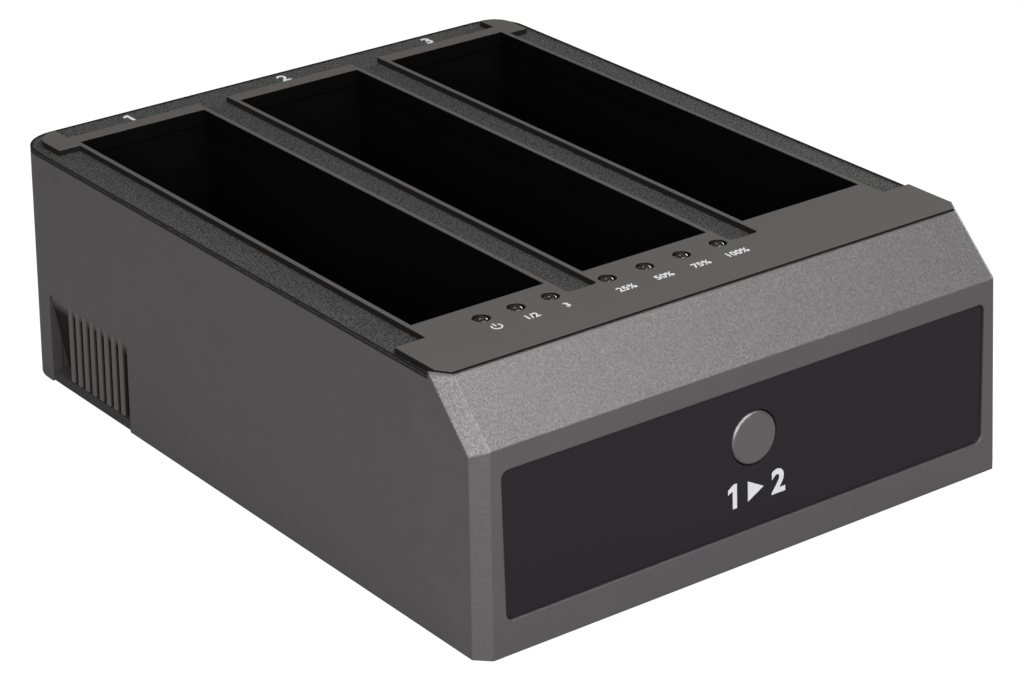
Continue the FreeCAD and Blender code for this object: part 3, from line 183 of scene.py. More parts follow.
def vector_math(tree, operation, sockets):
    """Combine vectors with a vector math node."""
    return add_node(tree, "ShaderNodeVectorMath", sockets, operation=operation).outputs[0]


def mix(tree, factor, first, second, kind="RGBA"):
    """Mix two colours, or two vectors where the kind is VECTOR, by a factor."""
    from_socket, to_socket, result = {"RGBA": (6, 7, 2), "VECTOR": (4, 5, 1)}[kind]
    sockets = {0: factor, from_socket: first, to_socket: second}
    return add_node(tree, "ShaderNodeMix", sockets, data_type=kind).outputs[result]


def mottled(tree, value, colour, spread, low=0.3, high=0.7):
    """Return a colour that goes from a darker to a lighter tone as a value goes from low to high."""
    return mix(tree, remap(tree, value, low, high), *tones(colour, spread))


def rounded_edges(tree, radius):
    """Return a normal that rounds the edges by the given radius."""
    return add_node(tree, "ShaderNodeBevel", {"Radius": radius}, samples=4).outputs[0]


def bump(tree, height, distance, normal=None):
    """Return a normal that follows a height whose full step is the given distance in metres."""
    sockets = {"Height": height, "Distance": distance, "Strength": 1.0}
    if normal is not None:
        sockets["Normal"] = normal
    return add_node(tree, "ShaderNodeBump", sockets).outputs[0]


# ---------------------------------------------------------------- finishes

def metallic_paint(name, colour, grain, roughness, sparkle):
    """Sprayed metallic paint on ABS: a grey lacquer whose fine aluminium flakes each lie at a slightly
    different angle, so that they glint where light strikes them, with the paint drawn thin and round
    over the edges."""
    material, tree, place = new_material(name)
    tone = mottled(tree, noise(tree, place, 7 * MM), colour, 0.015, 0.35, 0.65)
    peel = bump(tree, noise(tree, place, 0.8 * MM, 1.0), 0.004 * MM, rounded_edges(tree, 0.38 * MM))
    flake = vector_math(tree, "SUBTRACT", {0: cells(tree, place, grain)["Color"], 1: (0.5, 0.5, 0.5)})
    flake = vector_math(tree, "SCALE", {0: flake, "Scale": sparkle})
    normal = vector_math(tree, "ADD", {0: peel, 1: flake})
    normal = vector_math(tree, "NORMALIZE", {0: normal})
    close_material(tree, {"Base Color": tone, "Roughness": roughness, "Metallic": 0.8, "Normal": normal})
    return material


def moulded_plastic(name, colour, grain, roughness, depth=0.006 * MM, spread=0.12, shine=0.5):
    """Moulded plastic with the fine spark-eroded grain of its tool, a little uneven in tone and gloss."""
    material, tree, place = new_material(name)
    fine = noise(tree, place, grain)
    tone = mottled(tree, fine, colour, spread)
    rough = remap(tree, noise(tree, place, 9 * MM), 0.3, 0.7, roughness - 0.04, roughness + 0.04)
    normal = bump(tree, fine, depth, rounded_edges(tree, 0.12 * MM))
    close_material(tree, {"Base Color": tone, "Roughness": rough, "IOR": 1.5, "Specular IOR Level": shine,
                          "Normal": normal})
    return material


def two_grain_cover(name, satin, coarse, wall):
    """ABS cover from one mould: satin on what stands up and a coarse eroded leather grain on the sunk
    strips.  The walls between the two levels and in the openings are painted near black: painted
    shade, standing in for the shade that falls on them.  Height tells raised from sunk.  A sunk place
    is a strip if it lies further from a bay's middle than the bay's half width, where the distance
    folds back and forth between the bays, or behind the bays' rear rim."""
    material, tree, place = new_material(name)
    axes = add_node(tree, "ShaderNodeSeparateXYZ", {"Vector": place}).outputs
    raised = remap(tree, axes["Z"], COVER_TOP - 0.10 * MM, COVER_TOP - 0.04 * MM)
    sunk = remap(tree, axes["Z"], STRIP_LEVEL + 0.03 * MM, STRIP_LEVEL + 0.10 * MM, 1.0, 0.0)
    from_bay = calculate(tree, "PINGPONG", calculate(tree, "ADD", axes["X"], 4 * BAY_PITCH), BAY_PITCH / 2)
    beside = remap(tree, from_bay, BAY_WIDTH / 2 - 0.01 * MM, BAY_WIDTH / 2 + 0.03 * MM)
    behind = remap(tree, axes["Y"], BAY_BACK + 1.0 * MM, BAY_BACK + 1.1 * MM)
    strip = calculate(tree, "MULTIPLY", sunk, calculate(tree, "MAXIMUM", beside, behind))

    fine = noise(tree, place, 0.22 * MM)
    lumps = noise(tree, place, 0.34 * MM, 2.0, 0.6)
    pits = cells(tree, place, 0.42 * MM)[0]
    grain = calculate(tree, "MULTIPLY_ADD", pits, -0.55, calculate(tree, "ADD", lumps, 0.25))
    # Painted shade: what is neither raised nor a strip, the walls between the levels and in the openings,
    # takes the near-black wall colour.
    tone = mix(tree, strip, linear(wall), mottled(tree, grain, coarse, 0.75, 0.25, 0.75))
    tone = mix(tree, raised, tone, mottled(tree, fine, satin, 0.05))

    strip_or_wall = remap(tree, calculate(tree, "MAXIMUM", raised, strip), 0.0, 1.0, 0.95, 0.62)
    rough = calculate(tree, "MULTIPLY_ADD", raised, -0.16, strip_or_wall)
    satin_normal = bump(tree, fine, 0.004 * MM, rounded_edges(tree, 0.20 * MM))
    normal = mix(tree, strip, satin_normal, bump(tree, grain, 0.16 * MM), "VECTOR")
    close_material(tree, {"Base Color": tone, "Roughness": rough, "IOR": 1.5, "Normal": normal})
    return material


def finned_plastic(name, crest, slot_shade_colour):
    """Satin ABS fins over a dark ramp, with painted shade: from half a millimetre to a millimetre under
    the leaning wall the colour goes from the fins' own tone to near black, standing in for the shade in
    the slots.  The depth under the leaning wall is its half width, less the lean times the height,
    less |x|."""
    material, tree, place = new_material(name)
    axes = add_node(tree, "ShaderNodeSeparateXYZ", {"Vector": place}).outputs
    slope = math.tan(LEAN)
    wall = calculate(tree, "MULTIPLY_ADD", axes["Z"], -slope, CASE_HIGH.x + slope * CASE_LOW.z)
    depth = calculate(tree, "SUBTRACT", wall, calculate(tree, "ABSOLUTE", axes["X"]))
    shade = remap(tree, depth, 0.5 * MM, 1.0 * MM)
    fine = noise(tree, place, 0.3 * MM)
    # Painted shade: from half a millimetre to a millimetre deep the fins' tone gives way to the dark slot
    # colour.
    tone = mix(tree, shade, mottled(tree, fine, crest, 0.08), linear(slot_shade_colour))
    normal = bump(tree, fine, 0.005 * MM, rounded_edges(tree, 0.15 * MM))
    close_material(tree, {"Base Color": tone, "Roughness": remap(tree, shade, 0.0, 1.0, 0.4, 0.8),
                          "IOR": 1.5, "Normal": normal})
    return material


def plated_metal(name, colour, roughness):
    """Plated or drawn metal with the faint streaks of its rolling."""
    material, tree, place = new_material(name)
    stretched = add_node(tree, "ShaderNodeMapping", {"Vector": place, "Scale": (1.0, 1.0, 0.08)}).outputs[0]
    streaks = noise(tree, stretched, 0.3 * MM)
    rough = remap(tree, streaks, 0.3, 0.7, roughness - 0.06, roughness + 0.06)
    close_material(tree, {"Base Color": mottled(tree, streaks, colour, 0.08), "Roughness": rough,
                          "Metallic": 1.0})
    return material


def solder_mask(name, mask, track):
    """Glass-epoxy board under solder mask: copper shows through it as a slightly paler grid, and the
    glass weave as faint lumps."""
    material, tree, place = new_material(name)
    grid = add_node(tree, "ShaderNodeTexBrick", {"Vector": place, "Scale": 1 / (6 * MM), "Mortar Size": 0.03,
                                                 "Color1": linear(mask), "Color2": linear(mask),
                                                 "Mortar": linear(track)})
    weave = noise(tree, place, 0.5 * MM, 1.0)
    close_material(tree, {"Base Color": grid.outputs["Color"], "Roughness": 0.35, "IOR": 1.5,
                          "Normal": bump(tree, weave, 0.004 * MM)})
    return material


def clear_epoxy(name, tint):
    """Water-clear epoxy of an unlit indicator: it shows the lead frame inside and the dark hole round it."""
    material, tree, place = new_material(name)
    swirl = noise(tree, place, 1.2 * MM, 1.0)
    close_material(tree, {"Base Color": linear(tint), "Roughness": remap(tree, swirl, 0.3, 0.7, 0.02, 0.08),
                          "IOR": 1.53, "Transmission Weight": 0.9})
    return material


def printed_ink(name, colour):
    """Pad-printed ink: flat and matt, a little thin where the plastic's grain stands up."""
    material, tree, place = new_material(name)
    wear = noise(tree, place, 0.3 * MM)
    close_material(tree, {"Base Color": mottled(tree, wear, colour, 0.06, 0.25, 0.6), "Roughness": 0.55})
    return material


def finish_table(colours):
    """Return the finish of each material slot of the record."""
    return {
        "case_paint": metallic_paint("metallic_grey_paint", colours.case, 0.20 * MM, 0.44, 0.13),
        # The cover's last colour is painted shade for its walls between the levels and in the openings.
        "cover_satin": two_grain_cover("satin_and_coarse_abs", colours.cover, colours.strip, "060607"),
        "panel_black": moulded_plastic("black_satin_acrylic", colours.panel, 0.3 * MM, 0.34,
                                       0.001 * MM, 0.04),
        "button_metal": metallic_paint("satin_button_paint", colours.button, 0.22 * MM, 0.42, 0.14),
        # Black plastic bay liners, made darker than black plastic so the bays read as deep shade: partly the
        # plastic's own colour, partly painted shade.
        "liner_black": moulded_plastic("matt_black_abs", "040405", 0.4 * MM, 0.75, shine=0.1),
        # The vent's second colour is painted shade for its slots.
        "vent_black": finned_plastic("vent_abs", "716e6d", "0e0e0f"),
        "base_black": moulded_plastic("base_abs", "474546", 0.3 * MM, 0.55),
        "foot_rubber": moulded_plastic("foot_rubber", "1f1f1f", 0.5 * MM, 0.8, 0.02 * MM),
        "connector_black": moulded_plastic("glass_filled_nylon", "1b1b1d", 0.3 * MM, 0.45),
        "socket_white": moulded_plastic("natural_nylon", "dcd8cc", 0.4 * MM, 0.45),
        "chip_black": moulded_plastic("epoxy_package", "222224", 0.2 * MM, 0.6, 0.01 * MM),
        "ribbon_grey": moulded_plastic("cable_insulation", "8f8f92", 0.5 * MM, 0.5),
        "board_green": solder_mask("solder_mask_board", "184a30", "2c6b47"),
        "contact_gold": plated_metal("gold_plating", "d9b36a", 0.25),
        "port_steel": plated_metal("tinned_steel", "b9babd", 0.3),
        "screw_steel": plated_metal("zinc_plated_screw", "a3a4a8", 0.32),
        "can_aluminium": plated_metal("drawn_aluminium_can", "b4b6b9", 0.34),
        "lens_clear": clear_epoxy("clear_led_epoxy", "8c8c88"),
    }


# ---------------------------------------------------------------- shapes and marks

def mesh_object(name, vertices, faces, material, body, smooth=True):
    """Make a mesh from arrays of corners and faces, and let it ride on a body."""
    mesh = bpy.data.meshes.new(name)
    mesh.from_pydata([tuple(v) for v in vertices], [], [tuple(f) for f in faces])
    mesh.materials.append(material)
    if smooth:
        mesh.shade_smooth()
    piece = bpy.data.objects.new(name, mesh)
    bpy.context.collection.objects.link(piece)
    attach(piece, body)
    return piece


def turned(profile, centre, steps):
    """Turn a profile of radii and heights round the vertical through a centre: x = cx + r cos a,
    y = cy + r sin a, z = cz + h.  Its first and last points lie on the axis, so each end closes in
    a fan."""
    profile = np.asarray(profile)
    angle = np.linspace(0, 2 * math.pi, steps, endpoint=False)
    radii, heights = profile[1:-1, :1], profile[1:-1, 1:]
    x = centre[0] + radii * np.cos(angle)
    y = centre[1] + radii * np.sin(angle)
    z = centre[2] + np.repeat(heights, steps, axis=1)
    rings = np.stack([x, y, z], axis=-1).reshape(-1, 3)
    ends = np.array([[centre[0], centre[1], centre[2] + profile[end, 1]] for end in (0, -1)])
    count = len(radii)
    here = np.arange(steps)
    after = (here + 1) % steps
    walls = [np.stack([ring * steps + here, ring * steps + after,
                       (ring + 1) * steps + after, (ring + 1) * steps + here], axis=1)
             for ring in range(count - 1)]
    bottom, top = count * steps, count * steps + 1
    last = (count - 1) * steps
    fans = [np.stack([np.full(steps, bottom), after, here], axis=1),
            np.stack([np.full(steps, top), last + here, last + after], axis=1)]
    return np.vstack([rings, ends]), [list(face) for block in walls + fans for face in block]


def facing(right, up, out):
    """Return the turn that takes x, y and z to three directions."""
    return Matrix((right, up, out)).transposed().to_4x4()


def direction(azimuth, elevation):
    """Return the direction at a turn a from the front and an angle e above the table:
    x = sin a cos e, y = -cos a cos e, z = sin e."""
    return Vector((math.sin(azimuth) * math.cos(elevation), -math.cos(azimuth) * math.cos(elevation),
                   math.sin(elevation)))


def on_cover(x, y, level=COVER_TOP):
    """Return the matrix that lays a mark flat at x and y in millimetres, at a level in metres."""
    return Matrix.Translation((x * MM, y * MM, level))


def on_panel(x, height):
    """Return the matrix that lays a mark on the leaning front panel, at x and at a height along the
    panel above the case's foot, both in millimetres.  The panel lies 0.4 mm inside the wall."""
    up = Vector((0, math.sin(LEAN), math.cos(LEAN)))
    out = Vector((0, -math.cos(LEAN), math.sin(LEAN)))
    place = Vector((x * MM, -WALL_FOOT, CASE_FOOT)) + up * height * MM - out * 0.4 * MM
    return Matrix.Translation(place) @ facing(Vector((1, 0, 0)), up, out)


def ink():
    """Return the ink material, made once."""
    found = bpy.data.materials.get("white_pad_print")
    return found or printed_ink("white_pad_print", bpy.context.scene.duplicator_colours.ink)


def ink_levels():
    """Return the heights of a mark's upper and under side from the surface that it is printed on."""
    thickness = bpy.context.scene.duplicator_marks.ink_thickness
    return thickness, -INK_DEPTH * thickness


def print_text(name, text, height, matrix, body, weight=0.02):
    """Print a text: its outline is cut from the font, made a mesh, centred, scaled to its height, and
    laid on a surface by a matrix.  The weight thickens the strokes by a share of the font's size."""
    curve = bpy.data.curves.new(name, "FONT")
    curve.body = text
    curve.align_x, curve.align_y = "CENTER", "CENTER"
    curve.offset = weight
    curve.extrude = 0.5
    curve.resolution_u = 3
    source = bpy.data.objects.new(name + "_outline", curve)
    bpy.context.collection.objects.link(source)
    depsgraph = bpy.context.evaluated_depsgraph_get()
    mesh = bpy.data.meshes.new_from_object(source.evaluated_get(depsgraph))
    bpy.data.objects.remove(source)
    flat = np.empty(len(mesh.vertices) * 3)
    mesh.vertices.foreach_get("co", flat)
    points = flat.reshape(-1, 3)
    low, high = points.min(axis=0), points.max(axis=0)
    points = points - (low + high) / 2
    points[:, :2] *= height / (high[1] - low[1])
    points[:, 2] = np.where(points[:, 2] > 0, *ink_levels())
    mesh.vertices.foreach_set("co", points.ravel())
    mesh.transform(matrix)
    mesh.materials.clear()
    mesh.materials.append(ink())
    mesh.name = name
    piece = bpy.data.objects.new(name, mesh)
    bpy.context.collection.objects.link(piece)
    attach(piece, body)


def print_outline(name, corners, matrix, body):
    """Print a flat shape from its corners in millimetres, as thin as the ink."""
    flat = np.array(corners, dtype=float) * MM
    count = len(flat)
    top, under = (np.column_stack([flat, np.full(count, level)]) for level in ink_levels())
    faces = [list(range(count, 2 * count)), list(range(count - 1, -1, -1))]
    faces += [[k, (k + 1) % count, count + (k + 1) % count, count + k] for k in range(count)]
    piece = mesh_object(name, np.vstack([under, top]), faces, ink(), body, smooth=False)
    piece.data.transform(matrix)


def print_one(name, height, matrix, body):
    """Print a figure one with a flag, from corners that are shares of its height."""
    shares = [(-0.03, -0.5), (0.17, -0.5), (0.17, 0.5), (0.02, 0.5),
              (-0.25, 0.32), (-0.25, 0.13), (-0.03, 0.24)]
    print_outline(name, [(x * height / MM, y * height / MM) for x, y in shares], matrix, body)


# ---------------------------------------------------------------- properties

class DuplicatorColours(bpy.types.PropertyGroup):
    """Colours of the finishes, as sRGB hex values."""
    case: bpy.props.StringProperty(
        name="Case", description="The case's metallic paint", default="8c898a")
    button: bpy.props.StringProperty(
        name="Button", description="The button's metallic paint", default="938f90")
    cover: bpy.props.StringProperty(
        name="Cover", description="Satin parts of the top cover", default="63605f")
    strip: bpy.props.StringProperty(
        name="Strips", description="Coarse strips between the bays", default="494a49")
    panel: bpy.props.StringProperty(
        name="Panel", description="Front panel", default="201d22")
    ink: bpy.props.StringProperty(
        name="Ink", description="Printed marks", default="f2f2f6")


class DuplicatorMarks(bpy.types.PropertyGroup):
    """Sizes of the printed marks."""
    ink_thickness: bpy.props.FloatProperty(
        name="Ink thickness", description="How far the ink stands above the plastic",
        default=0.00004, unit="LENGTH")
    scale_height: bpy.props.FloatProperty(
        name="Scale numbers", description="Height of the numbers of the progress scale",
        default=0.0017, unit="LENGTH")
    bay_height: bpy.props.FloatProperty(
        name="Bay numbers", description="Height of the bay numbers", default=0.0032, unit="LENGTH")
    button_height: bpy.props.FloatProperty(
        name="Button mark", description="Height of the mark under the button",
        default=0.0046, unit="LENGTH")


class DuplicatorStudio(bpy.types.PropertyGroup):
    """Camera and lights."""
    azimuth: bpy.props.FloatProperty(
        name="Azimuth", description="Camera's turn round the object",
        default=math.radians(-36.1098), subtype="ANGLE")
    elevation: bpy.props.FloatProperty(
        name="Elevation", description="Camera's angle above the table",
        default=math.radians(24.4011), subtype="ANGLE")
    roll: bpy.props.FloatProperty(
        name="Roll", description="Camera's turn about its own axis",
        default=math.radians(-1.1777), subtype="ANGLE")
    distance: bpy.props.FloatProperty(
        name="Distance", description="From the camera to what it looks at",
        default=0.6325256, unit="LENGTH")
    lens: bpy.props.FloatProperty(
        name="Lens", description="Focal length in millimetres on a 36 mm sensor", default=117.06)
    camera_light: bpy.props.FloatProperty(
        name="Camera light", description="Power of the light above the camera in watts", default=4.2)
    left_light: bpy.props.FloatProperty(
        name="Left light", description="Power of the light on the left in watts", default=2.45)
    front_light: bpy.props.FloatProperty(
        name="Front light", description="Power of the high light in front in watts", default=4.2)
    right_light: bpy.props.FloatProperty(
        name="Right light", description="Power of the high light on the right in watts", default=1.0)
    top_light: bpy.props.FloatProperty(
        name="Top light", description="Power of the light overhead in watts", default=1.5)
    rear_light: bpy.props.FloatProperty(
        name="Rear light", description="Power of the low light at the back right in watts", default=5.0)
    world_level: bpy.props.FloatProperty(
        name="World", description="Level of the light from all round", default=0.06)


# ---------------------------------------------------------------- operators

class DUPLICATOR_OT_finishes(bpy.types.Operator):
    """Give every rigid piece of the frame its finish"""
    bl_idname = "duplicator.finishes"
    bl_label = "Finishes"

    def execute(self, context):
        finishes = finish_table(context.scene.duplicator_colours)
        for row in frame["record"]["subparts"]:
            node = frame["nodes"][row["node"]]
            finish = finishes[row["material_slot"]]
            if not node.material_slots:
                node.data.materials.append(finish)
            for slot in node.material_slots:
                slot.material = finish
        return {"FINISHED"}


class DUPLICATOR_OT_bay_shade_sleeves(bpy.types.Operator):
    """Line each bay's opening, up to just under the rim, with a thin black sleeve: a sheet of painted shade
    over the opening's walls, which lie in shade
    """
    bl_idname = "duplicator.bay_sleeves"
    bl_label = "Bay sleeves"

    def execute(self, context):
        for number, x in enumerate((-BAY_PITCH, 0.0, BAY_PITCH), start=1):
            self.make_shade_sleeve("bay_sleeve_%d" % number, x)
        return {"FINISHED"}

    def make_shade_sleeve(self, name, x):
        """Make a rectangular tube round a middle: the corners (+-a, +-b) of an outer and an inner
        loop, each at two levels."""
        middle = np.array([x, BAY_BACK - BAY_LENGTH / 2])
        signs = np.array([(-1, -1), (1, -1), (1, 1), (-1, 1)])
        loops = []
        for inset in (SLEEVE_PLAY, SLEEVE_PLAY + SLEEVE_WALL):
            flat = signs * np.array([BAY_WIDTH / 2 - inset, BAY_LENGTH / 2 - inset]) + middle
            loops += [np.column_stack([flat, np.full(4, level)]) for level in SLEEVE_LEVELS]
        faces = []
        for k in range(4):
            n = (k + 1) % 4
            faces += [[k, n, 4 + n, 4 + k], [8 + n, 8 + k, 12 + k, 12 + n],
                      [4 + k, 4 + n, 12 + n, 12 + k], [n, k, 8 + k, 8 + n]]
        # Painted shade: the sleeve is a black sheet over walls that only lie in shade.
        black = bpy.data.materials["matt_black_abs"]
        piece = mesh_object(name, np.vstack(loops), faces, black, "case", smooth=False)


class DUPLICATOR_OT_lights(bpy.types.Operator):
    """Make each indicator light: a clear domed lens round a lead frame with its cup and post"""
    bl_idname = "duplicator.lights"
    bl_label = "Indicator lights"

    def execute(self, context):
        for node in sorted(name for name in frame["nodes"] if name.startswith(("led_state_", "led_scale_"))):
            low, high = box_of(node)
            foot = Vector(((low.x + high.x) / 2, (low.y + high.y) / 2, low.z))
            self.make_lens(node, foot, (high.x - low.x) / 2, high.z - low.z)
            self.make_lead(node + "_cup", CUP_PROFILE_MM, foot, CUP_SHIFT, CUP_STEPS)
            self.make_lead(node + "_post", POST_PROFILE_MM, foot, POST_SHIFT, POST_STEPS)
        return {"FINISHED"}

    def make_lens(self, node, foot, radius, height):
        """Turn a straight wall with a quarter circle above it: r = R cos a, h = H - R + R sin a."""
        arc = np.radians(np.linspace(0, 90, 13))
        dome = zip(radius * np.cos(arc), height - radius + radius * np.sin(arc))
        points, faces = turned([(0.0, 0.0), (radius, 0.0), *dome], foot, LENS_STEPS)
        lens = mesh_object(node + "_lens", points, faces, bpy.data.materials["clear_led_epoxy"], "case")
        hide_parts(node)

    def make_lead(self, name, profile, foot, shift, steps):
        """Turn one of the two leads that stand in the lens, beside its middle."""
        metres = [(radius * MM, height * MM) for radius, height in profile]
        points, faces = turned(metres, (foot.x + shift, foot.y, foot.z), steps)
        lead = mesh_object(name, points, faces, bpy.data.materials["tinned_steel"], "case")


class DUPLICATOR_OT_scale_marks(bpy.types.Operator):
    """Print the numbers of the progress scale"""
    bl_idname = "duplicator.scale_marks"
    bl_label = "Progress scale"

    def execute(self, context):
        height = context.scene.duplicator_marks.scale_height
        for number, percent in enumerate((25, 50, 75, 100)):
            place = on_cover((number - 1.5) * SCALE_PITCH_MM, SCALE_ROW_MM)
            print_text("scale_mark_%d" % percent, "%d%%" % percent, height, place, "case")
        return {"FINISHED"}


class DUPLICATOR_OT_status_marks(bpy.types.Operator):
    """Print the power symbol and the drive numbers at the status lights"""
    bl_idname = "duplicator.status_marks"
    bl_label = "Status marks"

    def execute(self, context):
        height = context.scene.duplicator_marks.scale_height
        self.print_power_symbol(on_cover(*POWER_MARK_MM), 1.05)
        for number, text in (("2", "1/2"), ("3", "3")):
            place = on_cover(STATUS_COLUMNS_MM[number], STATUS_ROW_MM)
            print_text("status_mark_" + number, text, height, place, "case")
        return {"FINISHED"}

    def print_power_symbol(self, matrix, radius):
        """Print a ring that is open at the top, where a bar stands: points at radius r and angle a."""
        angle = np.radians(np.linspace(130, 410, 29))
        outer = [(radius * math.cos(a), radius * math.sin(a)) for a in angle]
        inner = [(0.74 * radius * math.cos(a), 0.74 * radius * math.sin(a)) for a in angle[::-1]]
        print_outline("power_mark_ring", outer + inner, matrix, "case")
        bar = [(-0.13, 0.2), (0.13, 0.2), (0.13, 1.35), (-0.13, 1.35)]
        print_outline("power_mark_bar", bar, matrix, "case")


class DUPLICATOR_OT_bay_marks(bpy.types.Operator):
    """Print each bay's number on the strip behind it, with a tick that points to the bay"""
    bl_idname = "duplicator.bay_marks"
    bl_label = "Bay numbers"

    def execute(self, context):
        height = context.scene.duplicator_marks.bay_height
        tick = [(-0.14, -0.75), (0.14, -0.75), (0.14, 0.75), (-0.14, 0.75)]
        for number, x in enumerate(BAY_MARK_COLUMNS_MM, start=1):
            name, place = "bay_mark_%d" % number, on_cover(x, BAY_MARK_ROW_MM, STRIP_LEVEL)
            if number == 1:
                print_one(name, height, place, "case")
            else:
                print_text(name, "%d" % number, height, place, "case")
            print_outline("bay_tick_%d" % number, tick, on_cover(x, BAY_TICK_ROW_MM, STRIP_LEVEL), "case")
        return {"FINISHED"}


class DUPLICATOR_OT_button_mark(bpy.types.Operator):
    """Print the copy mark under the button: from drive 1 to drive 2"""
    bl_idname = "duplicator.button_mark"
    bl_label = "Button mark"

    def execute(self, context):
        height = context.scene.duplicator_marks.button_height
        place = {part: on_panel(x, COPY_MARK_HEIGHT_MM) for part, x in COPY_MARK_MM.items()}
        print_one("copy_mark_from", height, place["from"], "case")
        print_text("copy_mark_to", "2", height, place["to"], "case", weight=0.035)
        print_outline("copy_mark_arrow", [(-1.6, -1.9), (1.9, 0.0), (-1.6, 1.9)], place["arrow"], "case")
        return {"FINISHED"}


class DUPLICATOR_OT_rocker_marks(bpy.types.Operator):
    """Print I and O on the two halves of the power switch's rocker"""
    bl_idname = "duplicator.rocker_marks"
    bl_label = "Rocker marks"

    def execute(self, context):
        low, high = box_of("switch_bezel")
        wall = WALL_FOOT - math.tan(LEAN) * ROCKER_HEIGHT_MM * MM
        hinge = Vector(((low.x + high.x) / 2, wall, (low.z + high.z) / 2))
        rest = Matrix.Rotation(LEAN, 4, "X") @ Matrix.Rotation(math.radians(7.0), 4, "Z")
        for name, text, side in (("rocker_mark_on", "I", -1), ("rocker_mark_off", "O", 1)):
            slope = math.atan2(0.4, 5.0) * side
            along = Vector((-math.cos(slope), -math.sin(slope), 0))
            out = Vector((-math.sin(slope), math.cos(slope), 0))
            half = Matrix.Translation((side * 2.5 * MM, 1.2 * MM, 0)) @ facing(along, Vector((0, 0, 1)), out)
            print_text(name, text, 2.2 * MM, Matrix.Translation(hinge) @ rest @ half, "power_rocker")
        return {"FINISHED"}


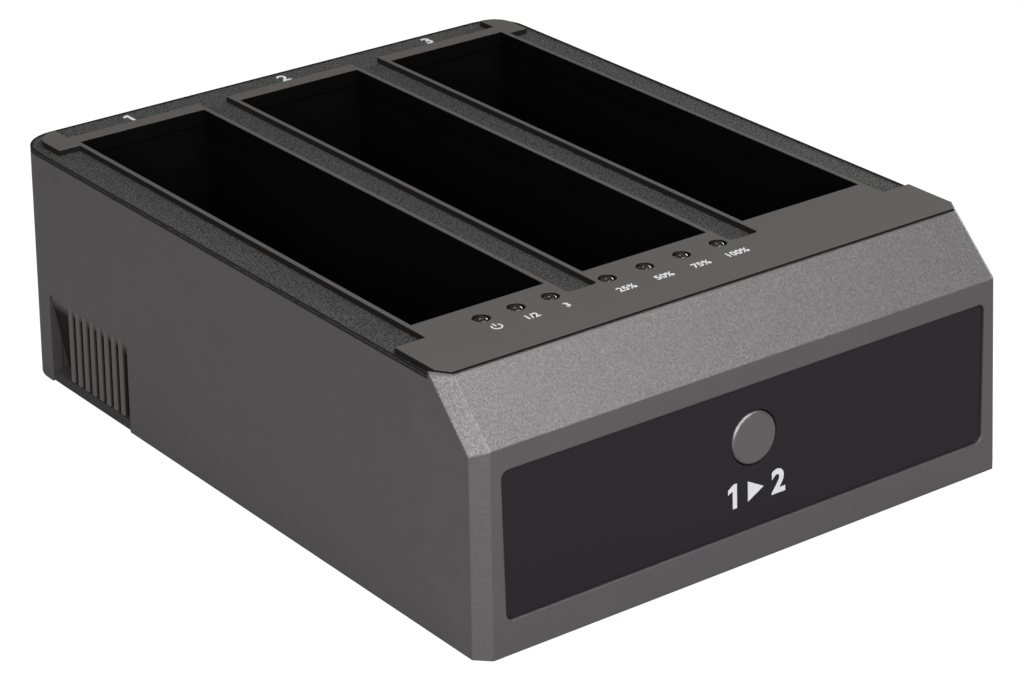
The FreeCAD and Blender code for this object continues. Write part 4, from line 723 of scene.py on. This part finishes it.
class DUPLICATOR_OT_stage(bpy.types.Operator):
    """Set up the table, the lights and the camera"""
    bl_idname = "duplicator.stage"
    bl_label = "Stage"

    def execute(self, context):
        studio = context.scene.duplicator_studio
        context.scene.view_settings.view_transform = "Standard"
        self.add_table(context)
        self.add_world(context, studio.world_level)
        for name, angles in LIGHT_ANGLES.items():
            away = direction(*(math.radians(angle) for angle in angles))
            self.add_light(context, name, away, getattr(studio, name))
        self.add_camera(context, studio)
        return {"FINISHED"}

    def add_table(self, context):
        """Lay a pale table under the object, white to the camera with the object's soft shadow."""
        mesh = bpy.data.meshes.new("table")
        signs = ((-1, -1), (1, -1), (1, 1), (-1, 1))
        corners = [(x * TABLE_HALF, y * TABLE_HALF, TABLE_LEVEL) for x, y in signs]
        mesh.from_pydata(corners, [], [(0, 1, 2, 3)])
        table = bpy.data.objects.new("table", mesh)
        context.collection.objects.link(table)
        material, tree, _ = new_material("pale_table")
        seen = add_node(tree, "ShaderNodeLightPath").outputs["Is Camera Ray"]
        tone = mix(tree, seen, linear("9a9a9a"), linear("5a5a5a"))
        paper = add_node(tree, "ShaderNodeBsdfDiffuse", {"Color": tone}).outputs[0]
        glow = add_node(tree, "ShaderNodeEmission", {"Color": (1, 1, 1, 1), "Strength": seen}).outputs[0]
        both = add_node(tree, "ShaderNodeAddShader", {0: paper, 1: glow}).outputs[0]
        add_node(tree, "ShaderNodeOutputMaterial", {"Surface": both})
        mesh.materials.append(material)

    def add_world(self, context, level):
        """Light from all round, and a white background to the camera and through the lenses."""
        world = bpy.data.worlds.new("studio")
        world.use_nodes = True
        tree = world.node_tree
        tree.nodes.clear()
        ray = add_node(tree, "ShaderNodeLightPath").outputs
        seen = calculate(tree, "MAXIMUM", ray["Is Camera Ray"], ray["Is Transmission Ray"])
        strength = remap(tree, seen, 0.0, 1.0, level, 1.0)
        sky = add_node(tree, "ShaderNodeBackground", {"Color": (1, 1, 1, 1), "Strength": strength}).outputs[0]
        add_node(tree, "ShaderNodeOutputWorld", {"Surface": sky})
        context.scene.world = world

    def add_light(self, context, name, away, power):
        """Hang a soft square light in a direction from the object, facing it."""
        light = bpy.data.lights.new(name, "AREA")
        light.shape = "SQUARE"
        light.size = LIGHT_SIZE
        light.energy = power
        lamp = bpy.data.objects.new(name, light)
        place = Matrix.Translation(LIGHT_AIM + LIGHT_DISTANCE * away)
        lamp.matrix_world = place @ away.to_track_quat("Z", "Y").to_matrix().to_4x4()
        context.collection.objects.link(lamp)

    def add_camera(self, context, studio):
        """Place the camera by azimuth, elevation, distance and roll round the point it looks at."""
        back = direction(studio.azimuth, studio.elevation)
        right = (-back).cross(Vector((0, 0, 1))).normalized()
        up = right.cross(-back)
        rolled_right = right * math.cos(studio.roll) + up * math.sin(studio.roll)
        rolled_up = up * math.cos(studio.roll) - right * math.sin(studio.roll)
        camera = bpy.data.objects.new("camera", bpy.data.cameras.new("camera"))
        camera.data.lens = studio.lens
        camera.data.sensor_width = 36.0
        camera.data.clip_start = 0.01
        camera.data.clip_end = 30.0
        place = Matrix.Translation(CAMERA_TARGET + back * studio.distance)
        camera.matrix_world = place @ facing(rolled_right, rolled_up, back)
        context.collection.objects.link(camera)
        context.scene.camera = camera


PIECES = (DUPLICATOR_OT_finishes, DUPLICATOR_OT_bay_shade_sleeves, DUPLICATOR_OT_lights,
          DUPLICATOR_OT_scale_marks, DUPLICATOR_OT_status_marks, DUPLICATOR_OT_bay_marks,
          DUPLICATOR_OT_button_mark, DUPLICATOR_OT_rocker_marks, DUPLICATOR_OT_stage)

GROUPS = {"duplicator_colours": DuplicatorColours, "duplicator_marks": DuplicatorMarks,
          "duplicator_studio": DuplicatorStudio}


class DUPLICATOR_PT_pieces(bpy.types.Panel):
    """Lists the pieces, the stage and their settings"""
    bl_idname = "DUPLICATOR_PT_pieces"
    bl_label = "Drive duplicator"
    bl_space_type = "VIEW_3D"
    bl_region_type = "UI"
    bl_category = "Duplicator"

    def draw(self, context):
        for piece in PIECES:
            self.layout.operator(piece.bl_idname)
        for group_name in GROUPS:
            group = getattr(context.scene, group_name)
            box = self.layout.box()
            for name in group.__annotations__:
                box.prop(group, name)


# ---------------------------------------------------------------- registration and run

def register():
    """Register the property groups, the operators and the panel."""
    for name, group in GROUPS.items():
        bpy.utils.register_class(group)
        setattr(bpy.types.Scene, name, bpy.props.PointerProperty(type=group))
    for piece in PIECES:
        bpy.utils.register_class(piece)
    bpy.utils.register_class(DUPLICATOR_PT_pieces)


def unregister():
    """Take back what register added."""
    bpy.utils.unregister_class(DUPLICATOR_PT_pieces)
    for piece in reversed(PIECES):
        bpy.utils.unregister_class(piece)
    for name, group in reversed(GROUPS.items()):
        delattr(bpy.types.Scene, name)
        bpy.utils.unregister_class(group)


def main():
    """Make every piece and the stage."""
    register()
    for piece in PIECES:
        group, name = piece.bl_idname.split(".")
        getattr(getattr(bpy.ops, group), name)()


if __name__ == "__main__":
    main()
